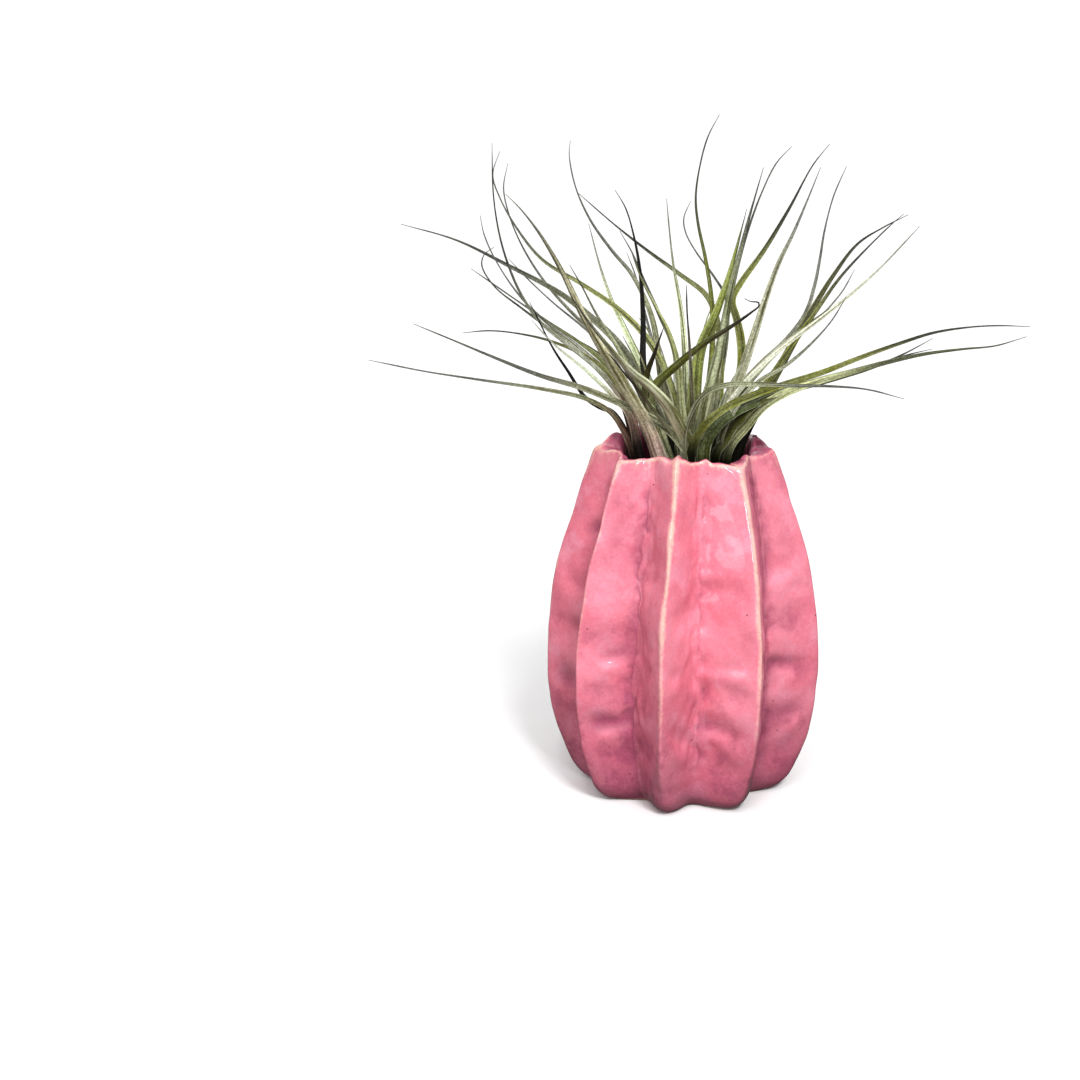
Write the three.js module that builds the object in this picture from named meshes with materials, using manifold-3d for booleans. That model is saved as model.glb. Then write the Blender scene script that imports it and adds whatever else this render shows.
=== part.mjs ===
// An air plant in a hand-modelled, ribbed ceramic vase: a clump of four rosettes that stands in the
// mouth of the vase. Millimetres, +Z up. The origin is the centre of the flat foot, the front is
// towards -Y, and +X is to the right.
import * as THREE from "three";
import { mergeVertices } from "three/addons/utils/BufferGeometryUtils.js";
import Module from "manifold-3d";

// Driving sizes of the vase. Its ribs are given by the angle of each crest, from the front and
// towards the right, with the height of the rim there and how far the rib reaches out.
const VASE_HEIGHT = 100;
const FOOT_RADIUS = 22;
const FLOOR_THICKNESS = 7;
const RIM_CRESTS = [
  { angle: -92, rim: 100, reach: 1 },
  { angle: -49, rim: 99.4, reach: 0.97 },
  { angle: -9, rim: 102, reach: 1 },
  { angle: 35, rim: 99.2, reach: 1 },
  { angle: 80, rim: 99, reach: 0.98 },
  { angle: 125, rim: 101.4, reach: 0.98 },
  { angle: 170, rim: 100.4, reach: 1 },
  { angle: 219, rim: 101, reach: 0.98 },
];
const STEPS_PER_RIB = 8;
const CREST_SHARPNESS = 1.2;
const BOTTOM_LIFT = 1.6;
const BOTTOM_LIFT_END = 10;
const MOUTH_SHAPE_START = 85;

// Outside of the vase from the foot to the rim: height, crest radius, valley radius, and how round
// the crests are there, from 0 for a sharp edge to 1
const OUTSIDE = [
  { z: 0, crest: FOOT_RADIUS + 3, valley: FOOT_RADIUS - 2, soft: 1 },
  { z: 1, crest: 28.6, valley: 22.6, soft: 1 },
  { z: 4, crest: 31.7, valley: 24.2, soft: 0.8 },
  { z: 10, crest: 34.6, valley: 25.5, soft: 0.4 },
  { z: 18, crest: 37.3, valley: 26.6, soft: 0 },
  { z: 28, crest: 39.1, valley: 27.4, soft: 0 },
  { z: 39, crest: 39.7, valley: 27.8, soft: 0 },
  { z: 50, crest: 39.2, valley: 27.6, soft: 0 },
  { z: 60, crest: 37.8, valley: 27, soft: 0 },
  { z: 70, crest: 35.7, valley: 25.9, soft: 0 },
  { z: 79, crest: 33.2, valley: 24.6, soft: 0 },
  { z: 87, crest: 30.6, valley: 23.1, soft: 0 },
  { z: 94, crest: 28.2, valley: 21.7, soft: 0 },
  { z: 98.4, crest: 26.6, valley: 20.7, soft: 0.3 },
  { z: VASE_HEIGHT, crest: 24.8, valley: 19.8, soft: 0.6 },
];

// Inside of the vase from the mouth to the floor: height and radius of a round wall
const MOUTH_RADIUS = 18.4;
const THROAT_RADIUS = 14.8;
const THROAT_HEIGHT = 80;
const INSIDE = [
  { z: 99.4, radius: MOUTH_RADIUS },
  { z: 96, radius: 17.6 },
  { z: 89, radius: 16 },
  { z: THROAT_HEIGHT + 3, radius: THROAT_RADIUS },
  { z: THROAT_HEIGHT - 3, radius: THROAT_RADIUS },
  { z: 70, radius: 17 },
  { z: 58, radius: 21 },
  { z: 40, radius: 22.6 },
  { z: 22, radius: 21.6 },
  { z: 11, radius: 18.6 },
  { z: FLOOR_THICKNESS, radius: 13 },
];

// Driving sizes of the plant
const SEAT_GAP = 0.3;
const CORE_RADIUS = 5;
const CORE_HALF_HEIGHT = 9;
const CORE_SIDES = 14;
const ROOT_REACH = 0.45;
const LOWEST_ROOT = -0.35;
const HIGHEST_ROOT = 0.45;
const LEAF_STEPS = 12;
const TIP_WIDTH = 0.75;
const THINNEST = 0.6;
const THICKENING = 0.1;
const CHANNEL = 0.17;
const FACING = 0.8;
const SHEATH = 0.35;
const SHEATH_SPAN = 0.16;
const FUSE_TOLERANCE = 0.01;
const MERGE_DISTANCE = 1e-4;

// Leaves are drawn in a front elevation that stands on the vase's axis, as an eye at this distance
// and height sees them. A point is carried along its line of sight to the depth of its leaf.
const EYE_DISTANCE = 640;
const EYE_HEIGHT = 245;

const radians = THREE.MathUtils.degToRad;

// A leaf: width at its root, depth at the mouth of the vase and at its tip (away from the viewer),
// then its line in the elevation from the mouth to the tip.
function leaf(width, mouthDepth, tipDepth, ...line) {
  return { width, mouthDepth, tipDepth, line };
}

const LEFT_LEAVES = [
  leaf(3.2, 0, -12, [-16, 99], [-18.5, 105], [-22, 110], [-29, 113.8], [-40, 116.2], [-60, 119],
    [-75, 121.2], [-90.5, 124.2]),
  leaf(3.4, 2, -7, [-16.6, 99.5], [-18.3, 105], [-21, 109.5], [-25, 111.4], [-29, 114.2],
    [-33.5, 120.5], [-38, 128], [-44.7, 141.3]),
  leaf(3.4, 3, 26, [-13, 100], [-16, 109], [-22, 120.5], [-29, 126], [-39, 130.3], [-48, 132.3],
    [-56, 133], [-63.5, 132.3]),
  leaf(3.2, 0, 0, [-12.5, 100], [-16, 110], [-22, 118.5], [-30, 126.2], [-38, 132.8],
    [-47, 139.5], [-54.5, 145.5], [-58, 151.3], [-57.3, 154.4], [-54.5, 156.5]),
  leaf(3.4, 1, 12, [-11.5, 100], [-15, 112], [-22, 122], [-30, 129.3], [-40, 136], [-50, 142.8],
    [-61, 150.4]),
  leaf(3.6, -1, -8, [-12, 100], [-17, 112.4], [-25, 121.6], [-33, 128.3], [-42, 135.7],
    [-47, 143], [-50.5, 151], [-53, 159.5], [-54.7, 171], [-55, 185.2]),
  leaf(4.2, -2, -6, [-13.5, 100], [-17, 110.5], [-22, 116], [-29, 122], [-36, 129], [-44, 136.5]),
  leaf(3.6, -1, -2, [-9.5, 102], [-11.5, 114], [-14.5, 124], [-18.5, 132]),
  leaf(3.2, -2, -2.5, [-8.8, 102], [-10, 113], [-12, 122], [-14.6, 129]),
  leaf(2.8, 3, 34, [-12.5, 101], [-20, 118], [-30, 127.8], [-41, 136.4], [-48, 143.6],
    [-54.2, 153], [-57.3, 160], [-58.4, 165.3]),
];

const FRONT_LEAVES = [
  leaf(4.4, -13.5, -34, [0.5, 96.5], [-2.5, 101], [-7, 105.5], [-13, 109], [-20, 112.8],
    [-30, 116.8], [-42, 120.3], [-56, 125.8], [-66, 130], [-77.5, 134.7]),
  leaf(5, -11, -48, [-9, 97], [-11.5, 104.5], [-15, 111.5], [-20, 119.5], [-25, 128.5],
    [-30, 138], [-35.5, 149.5], [-41.5, 159.8], [-47, 167], [-51.2, 171.2]),
  leaf(5, -12, -60, [-4, 97.5], [-6.5, 105], [-10, 114], [-16, 121.3], [-22, 128], [-28, 135.5],
    [-33, 143]),
  leaf(3.8, -9, -52, [-6, 99], [-9, 108], [-13, 116.5], [-18, 122.3], [-23.2, 127.4]),
  leaf(3.4, -7, -36, [-6.5, 101], [-10, 110], [-14.5, 119], [-20, 128.5], [-26, 138],
    [-30, 145.7], [-33.5, 151.8]),
  leaf(2.8, -9, -60, [-8, 103], [-11.5, 112], [-11.8, 119.5], [-9.5, 127], [-7.1, 134.3]),
  leaf(2.8, -11, -72, [-7.5, 103], [-10.5, 111.5], [-9.2, 117.5], [-3.5, 123.4], [4, 129.7],
    [12, 135], [18, 139.6], [19.7, 141.4], [18.3, 142], [15.5, 142.9]),
  leaf(4.6, -13, -62, [-0.5, 99], [1.2, 109.5], [5, 115.5], [11, 118], [20, 118.4], [30, 118.2],
    [40, 118.2], [50, 117.5], [60.3, 115]),
  leaf(4.8, -14, -30, [1.5, 97.5], [4.5, 105.5], [10.5, 111.3], [19, 115.5], [28, 118.8],
    [38, 122.3], [48, 126.5], [58, 130.4], [68, 133.8], [78, 135.5], [86, 136], [94.2, 135.8]),
  leaf(5, -10, -32, [4, 100], [6, 111], [8.3, 121.5], [9.7, 132], [11.3, 143.5], [13.7, 155],
    [16.3, 166.5], [19.6, 179]),
  leaf(2.2, -9, -66, [1.5, 104], [1, 118], [0.2, 130], [-0.6, 139], [-0.9, 146.3]),
  leaf(3.6, -7, -16, [-3, 101], [-4.2, 111], [-6.6, 120], [-9.6, 127]),
  leaf(3.6, -6, -12, [2.5, 102], [3.6, 112], [5.4, 121], [7.6, 129]),
  leaf(4.4, -8, -22, [-1, 100], [-2, 112], [-3.2, 124], [-5.6, 132.5], [-9.5, 140.2],
    [-13.5, 148], [-16.5, 156]),
];

const RIGHT_LEAVES = [
  leaf(4.4, -4, 0, [14, 100.5], [17, 106.5], [21.5, 112], [28, 116.2], [37, 119.6], [46, 122.3],
    [56, 125.3], [66, 127.7], [76, 129.2], [85, 130.3], [93.4, 133]),
  leaf(4.6, -9, -5, [8.5, 100], [13, 107.5], [20, 113], [30, 117.3], [42, 120.7], [52, 124],
    [60, 127.8], [67.6, 132.2]),
  leaf(4.2, -6, -1, [11, 101], [15, 108.5], [22, 113.8], [31, 117.6], [42, 121], [53, 124.6],
    [61, 127.5], [67.6, 129.2]),
  leaf(3.6, 0, 10, [15.6, 100.5], [17.6, 105.5], [20.2, 110.3], [24, 114.4], [30, 117.3],
    [37, 119]),
  leaf(3.2, -7, -12, [9.5, 101.5], [13.5, 111.5], [20, 119.5], [27.5, 124.7], [34, 130.6],
    [39.5, 136.8], [43.3, 143.5]),
  leaf(4, -4, 4, [8, 102], [12.5, 112], [19, 121.5], [27, 130.5], [35.5, 137.5], [43.5, 144.5],
    [51, 151], [57.5, 157.8], [62.7, 163.3]),
  leaf(3.6, -2, -3, [7, 102], [9.4, 112], [12.6, 120], [16.6, 126.5]),
  leaf(3.4, 1, 6, [8.5, 103], [11.4, 113], [15.2, 121.6], [19.8, 128]),
  leaf(3, 0, 4, [8, 102], [9.4, 112], [9.7, 121], [9.2, 128.7]),
  leaf(3, 1, 40, [13, 103], [18.5, 114], [25, 123.5], [32, 132], [38.5, 139.5], [42.7, 145.5],
    [45.4, 151.2]),
  leaf(3.8, 0, 18, [10.5, 103], [15, 112.5], [21, 121], [28, 129.7], [35, 139.5], [41.5, 148.8],
    [49, 157.5], [55, 163.7], [58.2, 166.6]),
  leaf(4.6, 3, 40, [14, 104], [19, 113.5], [25, 123.5], [30, 133.5], [34.5, 142.5], [40, 151],
    [46, 158.3], [53, 163], [59.4, 166.4]),
  leaf(2.8, 4, 52, [12, 104], [17, 114], [23.5, 124.5], [29, 134], [32.5, 141.5], [35.2, 152],
    [36.8, 162], [39, 171.5], [42.2, 179.5]),
  leaf(4.2, -1, 12, [9, 103], [12, 113], [15.5, 123], [18.5, 133], [21.5, 143.5], [24.5, 152.5],
    [28.3, 161], [32, 170.5], [35.2, 179.2]),
  leaf(4, 3, 26, [10, 102], [12.4, 112], [15, 123], [14.6, 131], [13.3, 137], [11.9, 142.2],
    [14, 146.8], [20.5, 156.5], [27, 168], [33, 179.7], [37.4, 185.5]),
];

const BACK_LEAVES = [
  leaf(4.2, 6, 42, [-6, 103], [-12, 117], [-19, 128.5], [-27, 136.5], [-36, 143.5], [-50, 151],
    [-65, 158.3], [-80.5, 162.7]),
  leaf(4, 4, 34, [-1, 100], [-3.5, 112], [-7, 123], [-12, 131.5], [-20, 139.5], [-30, 146.3],
    [-41, 153], [-48, 161.5], [-53, 170.5], [-54.8, 176.5], [-52.8, 183]),
  leaf(3, 8, 58, [-9, 104], [-16, 120], [-24, 130], [-33, 138.5], [-40.5, 147], [-46.5, 156.5],
    [-50.3, 165.5], [-51.8, 173], [-50.6, 179.7]),
  leaf(3, 9, 66, [-12, 104], [-18, 120], [-24, 129], [-30, 134.5], [-38, 141], [-46, 148.5],
    [-50.5, 153.3]),
  leaf(3.2, 8, 50, [-5, 104], [-8, 122], [-10.5, 137], [-16, 148.8], [-22, 156], [-28, 164.5],
    [-32, 173.5], [-33.7, 182], [-33.4, 186]),
  leaf(3.6, 3, 2, [-6, 102], [-10.5, 113], [-12.8, 123], [-13, 136], [-13.8, 149], [-15.5, 159],
    [-18, 167.5], [-21, 172.6]),
  leaf(3.8, 7, 66, [-4, 101], [-8, 112], [-13, 123.5], [-18, 134], [-21.7, 142], [-25, 151.5],
    [-28.2, 163.3]),
  leaf(4, 3, 16, [-1.5, 103], [-2.5, 118], [-4.5, 129], [-8.5, 138], [-12.5, 147], [-16, 155],
    [-19.6, 161.3]),
  leaf(3.6, 6, 14, [-3, 103], [-4.4, 114], [-6.4, 124], [-9, 132]),
  leaf(3.6, 6, 16, [2, 103], [2.6, 114], [3.8, 124], [5.6, 132]),
  leaf(2.4, 6, 72, [-3, 103], [-5.5, 114], [-9, 126], [-12.2, 138], [-14.8, 148],
    [-17.6, 155.3]),
  leaf(3.4, 4, 30, [0, 104], [-0.7, 116], [-1.2, 128], [-2.5, 140], [-4.7, 152], [-6, 162.5],
    [-6.8, 170.3]),
  leaf(2.8, 4, 6, [4.5, 104], [6, 118], [6.8, 131], [6.2, 143], [4.3, 154], [2, 164],
    [1.3, 171], [2.4, 180], [4.4, 187.5], [7.3, 193.2]),
  leaf(2.6, 7, 46, [7, 104], [9, 120], [9.6, 134], [8, 144.5], [5, 151], [0.5, 157.5],
    [-1.7, 161.5], [-2, 165], [-0.2, 169.6]),
  leaf(4.4, 2, -4, [2.5, 104], [2.8, 117], [4.5, 129], [7.5, 140.5], [10.3, 151], [12.8, 160],
    [15, 168.5]),
  leaf(3, 5, 40, [6, 104], [8.2, 118], [9.8, 132], [12.3, 147], [15.5, 160.5], [19.5, 172.5],
    [23.2, 180.3], [27.2, 184.8]),
  leaf(3.4, 8, 62, [6, 103], [8.6, 118], [8.4, 133], [5, 143], [-3, 149.5], [-12, 156],
    [-21, 163], [-31.2, 171.7]),
];

// Leaves that lean back at the far side, where the others hide them from the front
const FAR_LEAVES = [
  leaf(4.2, 12, 62, [-9, 102], [-16, 116], [-23, 125], [-31, 130.5], [-38, 134]),
  leaf(4.4, 12, 84, [-7, 102], [-12, 115], [-17, 123], [-22, 127.5], [-26, 129]),
  leaf(3.8, 12, 74, [-4, 103], [-7, 117], [-9.5, 128], [-12, 134.5], [-14, 137]),
  leaf(4.4, 12.5, 92, [-2, 102], [-3, 116], [-4, 126], [-5, 131], [-6, 132]),
  leaf(3.8, 12, 70, [1, 103], [2, 118], [3.5, 129], [5, 137], [7, 142]),
  leaf(4.4, 12, 88, [3, 102], [5, 115], [6.5, 124], [8, 128.5], [10, 129.5]),
  leaf(4.2, 10.5, 70, [8, 102], [12.5, 113], [16.5, 122], [19.5, 127], [22, 130]),
  leaf(4.4, 10.5, 80, [9, 102], [15, 112], [20, 118], [25, 121], [29, 121.6]),
  leaf(4, 8.5, 56, [11, 102], [19, 114], [28, 122.5], [34.5, 129], [39, 134]),
];

const CORE_OFFSET = THROAT_RADIUS - CORE_RADIUS - SEAT_GAP;
const ROSETTES = [
  { name: "rosette_left", bearing: 188, leaves: LEFT_LEAVES, colour: 0x7f7768 },
  { name: "rosette_front", bearing: 275, leaves: FRONT_LEAVES, colour: 0x8d957c },
  { name: "rosette_right", bearing: 355, leaves: RIGHT_LEAVES, colour: 0x76803f },
  { name: "rosette_back", bearing: 92, leaves: [...BACK_LEAVES, ...FAR_LEAVES], colour: 0x929c7e },
];

const wasm = await Module();
wasm.setup();

// Vase

// Place along the ribs at one angle: 1 on a crest and 0 in a valley, with the rim height there.
function ribAt(step) {
  const count = RIM_CRESTS.length;
  const index = Math.floor(step / STEPS_PER_RIB) % count;
  const part = (step % STEPS_PER_RIB) / STEPS_PER_RIB;
  const from = RIM_CRESTS[index];
  const to = RIM_CRESTS[(index + 1) % count];
  const turn = index === count - 1 ? 360 : 0;
  return {
    angle: radians(THREE.MathUtils.lerp(from.angle, to.angle + turn, part)),
    crest: Math.abs(1 - 2 * part) ** CREST_SHARPNESS,
    roundCrest: Math.cos(Math.PI * part) ** 2,
    reach: THREE.MathUtils.lerp(from.reach, to.reach, part),
    rim: THREE.MathUtils.lerp(from.rim, to.rim, part),
  };
}

// A point of the outside. Heights stretch a little to each rib's own rim, and the underside lifts
// in the valleys between the lobes of the foot.
function outsidePoint(ring, rib) {
  const crest = THREE.MathUtils.lerp(rib.crest, rib.roundCrest, ring.soft);
  const radius = THREE.MathUtils.lerp(ring.valley, ring.crest, crest) * rib.reach;
  const stretch = THREE.MathUtils.lerp(1, rib.rim / VASE_HEIGHT, (ring.z / VASE_HEIGHT) ** 3);
  const nearFoot = ring.z > 0 ? Math.max(1 - ring.z / BOTTOM_LIFT_END, 0) : 0;
  const z = ring.z * stretch + BOTTOM_LIFT * (1 - rib.crest) * nearFoot;
  return [radius * Math.sin(rib.angle), -radius * Math.cos(rib.angle), z];
}

// A point of the round inside wall, which follows the ribs' rim heights near the mouth.
function insidePoint(ring, rib) {
  const nearRim = THREE.MathUtils.clamp(
    (ring.z - MOUTH_SHAPE_START) / (VASE_HEIGHT - MOUTH_SHAPE_START), 0, 1,
  );
  const z = ring.z * THREE.MathUtils.lerp(1, rib.rim / VASE_HEIGHT, nearRim);
  return [ring.radius * Math.sin(rib.angle), -ring.radius * Math.cos(rib.angle), z];
}

// Rings of points joined into one closed skin, with a middle point under the first ring and on
// the last.
function skinOfRings(rings, firstMiddle, lastMiddle) {
  const around = rings[0].length;
  const positions = [...rings.flat(), firstMiddle, lastMiddle].flat();
  const first = rings.length * around;
  const faces = [];
  for (let row = 0; row < rings.length - 1; row += 1) {
    for (let i = 0; i < around; i += 1) {
      const next = (i + 1) % around;
      const a = row * around + i;
      const b = row * around + next;
      faces.push(a, b, b + around, a, b + around, a + around);
    }
  }
  for (let i = 0; i < around; i += 1) {
    const next = (i + 1) % around;
    const last = (rings.length - 1) * around;
    faces.push(first, next, i, first + 1, last + i, last + next);
  }
  const geometry = new THREE.BufferGeometry();
  geometry.setAttribute("position", new THREE.Float32BufferAttribute(positions, 3));
  geometry.setIndex(faces);
  return geometry;
}

function vaseGeometry() {
  const steps = RIM_CRESTS.length * STEPS_PER_RIB;
  const ribs = Array.from({ length: steps }, (_, step) => ribAt(step));
  const outside = OUTSIDE.map((ring) => ribs.map((rib) => outsidePoint(ring, rib)));
  const inside = INSIDE.map((ring) => ribs.map((rib) => insidePoint(ring, rib)));
  return skinOfRings([...outside, ...inside], [0, 0, 0], [0, 0, FLOOR_THICKNESS]);
}

// Plant

// A closed geometry as a solid that can be joined with others.
function solid(geometry) {
  geometry.deleteAttribute("normal");
  geometry.deleteAttribute("uv");
  const merged = mergeVertices(geometry, MERGE_DISTANCE);
  return new wasm.Manifold(
    new wasm.Mesh({
      numProp: 3,
      vertProperties: merged.attributes.position.array,
      triVerts: new Uint32Array(merged.index.array),
    }),
  );
}

function geometryOf(body) {
  const mesh = body.getMesh();
  const geometry = new THREE.BufferGeometry();
  geometry.setAttribute("position", new THREE.BufferAttribute(mesh.vertProperties, 3));
  geometry.setIndex(new THREE.BufferAttribute(mesh.triVerts, 1));
  return geometry;
}

function coreCentre(rosette) {
  const angle = radians(rosette.bearing);
  return new THREE.Vector3(
    CORE_OFFSET * Math.cos(angle), CORE_OFFSET * Math.sin(angle), THROAT_HEIGHT,
  );
}

// A point of the elevation carried along its line of sight to a depth.
function alongSight([x, z], depth) {
  const scale = (EYE_DISTANCE + depth) / EYE_DISTANCE;
  return new THREE.Vector3(x * scale, depth, EYE_HEIGHT + (z - EYE_HEIGHT) * scale);
}

// The points of a drawn leaf. Its depth goes from the mouth to the tip with the length passed.
function drawnLine({ mouthDepth, tipDepth, line }) {
  const passed = [0];
  for (let i = 1; i < line.length; i += 1) {
    const [x0, z0] = line[i - 1];
    const [x1, z1] = line[i];
    passed.push(passed[i - 1] + Math.hypot(x1 - x0, z1 - z0));
  }
  const whole = passed.at(-1);
  return line.map((point, i) =>
    alongSight(point, THREE.MathUtils.lerp(mouthDepth, tipDepth, passed[i] / whole)),
  );
}

// A leaf as a closed channelled blade that tapers to its tip. It starts in the core, and its
// upper side faces the middle of the clump and a little to the front.
function blade(width, points, core, place) {
  const heading = points.at(-1).clone().sub(core).setZ(0).normalize();
  const start = core.clone().addScaledVector(heading, CORE_RADIUS * ROOT_REACH);
  start.z += THREE.MathUtils.lerp(LOWEST_ROOT, HIGHEST_ROOT, place) * CORE_HALF_HEIGHT;
  const curve = new THREE.CatmullRomCurve3([start, ...points], false, "centripetal");
  const middles = curve.getSpacedPoints(LEAF_STEPS);
  const normal = heading.clone().negate();
  normal.y -= FACING;
  const rings = middles.map((middle, i) => {
    const part = i / LEAF_STEPS;
    const tangent = curve.getTangentAt(part);
    normal.addScaledVector(tangent, -normal.dot(tangent)).normalize();
    const across = new THREE.Vector3().crossVectors(tangent, normal);
    const sheath = SHEATH * Math.exp(-((part / SHEATH_SPAN) ** 2));
    const wide = Math.max(width * (1 - part + sheath), TIP_WIDTH);
    const thick = THINNEST + THICKENING * wide;
    const edge = CHANNEL * wide;
    return [[wide / 2, edge], [0, -thick / 2], [-wide / 2, edge], [0, thick / 2]].map(([a, n]) =>
      middle.clone().addScaledVector(across, a).addScaledVector(normal, n).toArray(),
    );
  });
  return skinOfRings(rings, middles[0].toArray(), middles.at(-1).toArray());
}

function coreGeometry(centre) {
  const geometry = new THREE.SphereGeometry(1, CORE_SIDES, CORE_SIDES / 2);
  geometry.rotateX(Math.PI / 2);
  geometry.scale(CORE_RADIUS, CORE_RADIUS, CORE_HALF_HEIGHT);
  return geometry.translate(centre.x, centre.y, centre.z);
}

// The leaves of a rosette fused with its core. A hollow that fusing seals is filled.
function rosetteGeometry(rosette) {
  const centre = coreCentre(rosette);
  let body = solid(coreGeometry(centre));
  rosette.leaves.forEach((row, i) => {
    const place = i / (rosette.leaves.length - 1);
    body = body.add(solid(blade(row.width, drawnLine(row), centre, place)));
  });
  const pieces = body.decompose().sort((a, b) => b.volume() - a.volume());
  return geometryOf(pieces[0].simplify(FUSE_TOLERANCE));
}

function named(name, geometry, colour, roughness) {
  const material = new THREE.MeshStandardMaterial({ color: colour, roughness, metalness: 0 });
  geometry.computeVertexNormals();
  const mesh = new THREE.Mesh(geometry, material);
  mesh.name = name;
  return mesh;
}

const airPlantInVase = new THREE.Group();
airPlantInVase.add(named("vase", vaseGeometry(), 0xf08ba0, 0.22));
for (const rosette of ROSETTES) {
  airPlantInVase.add(named(rosette.name, rosetteGeometry(rosette), rosette.colour, 0.72));
}

export default airPlantInVase;
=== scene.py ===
"""An air plant in a ribbed ceramic vase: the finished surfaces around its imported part.

Shapes are worked out in millimetres and go into the meshes in metres. +Z is up, the front is
towards -Y, +X is to the right, and the origin is the centre of the vase's foot.
"""

import bpy
import numpy as np
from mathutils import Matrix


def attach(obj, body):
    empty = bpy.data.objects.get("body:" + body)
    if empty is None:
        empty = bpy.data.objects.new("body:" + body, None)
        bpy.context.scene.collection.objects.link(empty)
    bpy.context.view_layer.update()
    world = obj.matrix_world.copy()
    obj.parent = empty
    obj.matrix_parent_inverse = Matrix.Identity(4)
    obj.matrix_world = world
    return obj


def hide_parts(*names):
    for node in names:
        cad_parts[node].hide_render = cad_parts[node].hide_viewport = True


bl_info = {
    "name": "Air plant in a vase",
    "version": (1, 0, 0),
    "blender": (4, 5, 0),
    "location": "3D View > Sidebar > Air plant",
    "description": "Dresses a packed air plant in its glazed, ribbed vase",
    "category": "Add Mesh",
}

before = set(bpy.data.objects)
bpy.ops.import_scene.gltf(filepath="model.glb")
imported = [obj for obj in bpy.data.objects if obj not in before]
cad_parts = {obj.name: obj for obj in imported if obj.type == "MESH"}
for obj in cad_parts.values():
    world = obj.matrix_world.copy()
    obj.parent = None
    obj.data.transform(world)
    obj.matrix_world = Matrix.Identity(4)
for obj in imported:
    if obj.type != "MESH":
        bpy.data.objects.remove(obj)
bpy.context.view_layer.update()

MM = 0.001
BODY = "root"

# Vase. Each rib has the angle of its crest, from the front and towards the right, the height of
# the rim there, how far the rib reaches out, how bare of glaze its crest is, and how many degrees
# the valley after it lies off the middle.
VASE_HEIGHT = 100
RIBS = [
    (-92, 100, 1, 0.6, 0),
    (-51.5, 99.4, 0.97, 0.6, 1),
    (-9, 102, 1, 1, -2.5),
    (32.5, 99.2, 1, 1, 0),
    (80, 100.8, 0.985, 0.3, 0),
    (125, 101.4, 0.98, 0.8, 0),
    (170, 100.4, 1, 0.9, 0),
    (219, 102.5, 0.98, 0.7, 0),
]
CREST_SHARPNESS = 1.2
CREST_ROUNDING = 0.05
VALLEY_ROUNDING = 0.14
# How much the valleys wander, in radians
VALLEY_WANDER = 0.035
# How far the wall is lifted in the valleys of the foot, and the height where the lift ends
BOTTOM_LIFT = 1.6
BOTTOM_LIFT_END = 10
# The crests turn to the right by this angle in degrees, between a height and the rim
RIM_TURN = 2.7
RIM_TURN_START = 40
# Small rises of the rim: angle, half width in degrees, height
RIM_BUMPS = [
    (-9, 3, 0.5), (13, 2.5, 0.6), (-38, 4, 0.6), (52, 4, 0.7), (-75, 5, 0.8), (95, 9, 2.2),
    (254, 6, 2.6),
]
# Where the wall is pressed in below the rim: angle, half width in degrees, depth
RIM_DENTS = [(80, 14, 1)]
# The height inside the mouth from which the inner wall follows the rim up and down
MOUTH_SHAPE_START = 85

# A facet is half a rib: facet 0 runs from the first crest to the valley after it, facet 1 from
# there to the next crest. How much painted shade a facet takes as deeper glaze, for the way it
# faces the light, and below zero how much painted light it takes as thinner glaze.
FACET_LIGHT_AND_SHADE = {2: 0.3, 3: -0.1, 4: -0.6, 5: -0.3, 6: 1.2, 7: 0.2}
THINNEST_GLAZE = -0.35
# Painted shade over the rim, read as deep glaze, darkest around an angle: the angle, half the width
# of the dark in degrees, and the painted depth there and on the rest of the lip, in the leaves'
# shade
PAINTED_RIM_SHADE = (92, 30)
RIM_SHADE_DEPTH = 2
LIP_SHADE_DEPTH = 1.2

# Heights between which the marks of the hands fade in above the foot and out below the rim, and
# between which the rim's waves, the dents below it and the depths of the glaze fade in
HANDS_FADE_IN = (6, 22)
HANDS_FADE_OUT = (90, 98)
RIM_FADE_IN = (92, 99)
DENTS_FADE_IN = (60, 98)
DEPTHS_FADE_IN = (-8, 4)

# Profile of the vase from the middle of its underside over the rim to the middle of its floor:
# height, crest radius, valley radius, and how round the crests are, from 0 for a sharp edge to 1
UNDERSIDE = [
    (0.7, 2, 2, 1),
    (0.7, 13, 12, 1),
    (0.5, 17, 15, 1),
    (0.05, 18.6, 16.2, 1),
    (0, 20.5, 17.4, 1),
    (0, 23.6, 19.2, 1),
]
OUTSIDE = [
    (0.15, 25.6, 20.4, 1),
    (1, 28.4, 22.5, 1),
    (4, 31.7, 24.2, 0.8),
    (10, 34.6, 25.5, 0.4),
    (18, 37.3, 26.6, 0),
    (28, 39.1, 27.4, 0),
    (39, 39.7, 27.8, 0),
    (50, 39.2, 27.6, 0),
    (60, 37.8, 27, 0),
    (70, 35.7, 25.9, 0),
    (79, 33.2, 24.6, 0),
    (87, 30.6, 23.1, 0),
    (94, 28.2, 21.7, 0.05),
    (97.6, 26.8, 20.9, 0.2),
]
LIP = [
    (99, 26.1, 20.6, 0.3),
    (99.7, 25.2, 20.3, 0.4),
    (100, 24, 19.9, 0.5),
    (100, 22, 19.5, 0.7),
    (99.7, 20, 19, 0.9),
    (99, 18.9, 18.6, 1),
    (98, 18.3, 18.2, 1),
]
INSIDE = [
    (96, 17.6, 17.6, 1),
    (89, 16, 16, 1),
    (83, 14.8, 14.8, 1),
    (77, 14.8, 14.8, 1),
    (70, 17, 17, 1),
    (58, 21, 21, 1),
    (40, 22.6, 22.6, 1),
    (22, 21.6, 21.6, 1),
    (11, 18.6, 18.6, 1),
    (7, 13, 13, 1),
    (7, 2, 2, 1),
]

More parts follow.
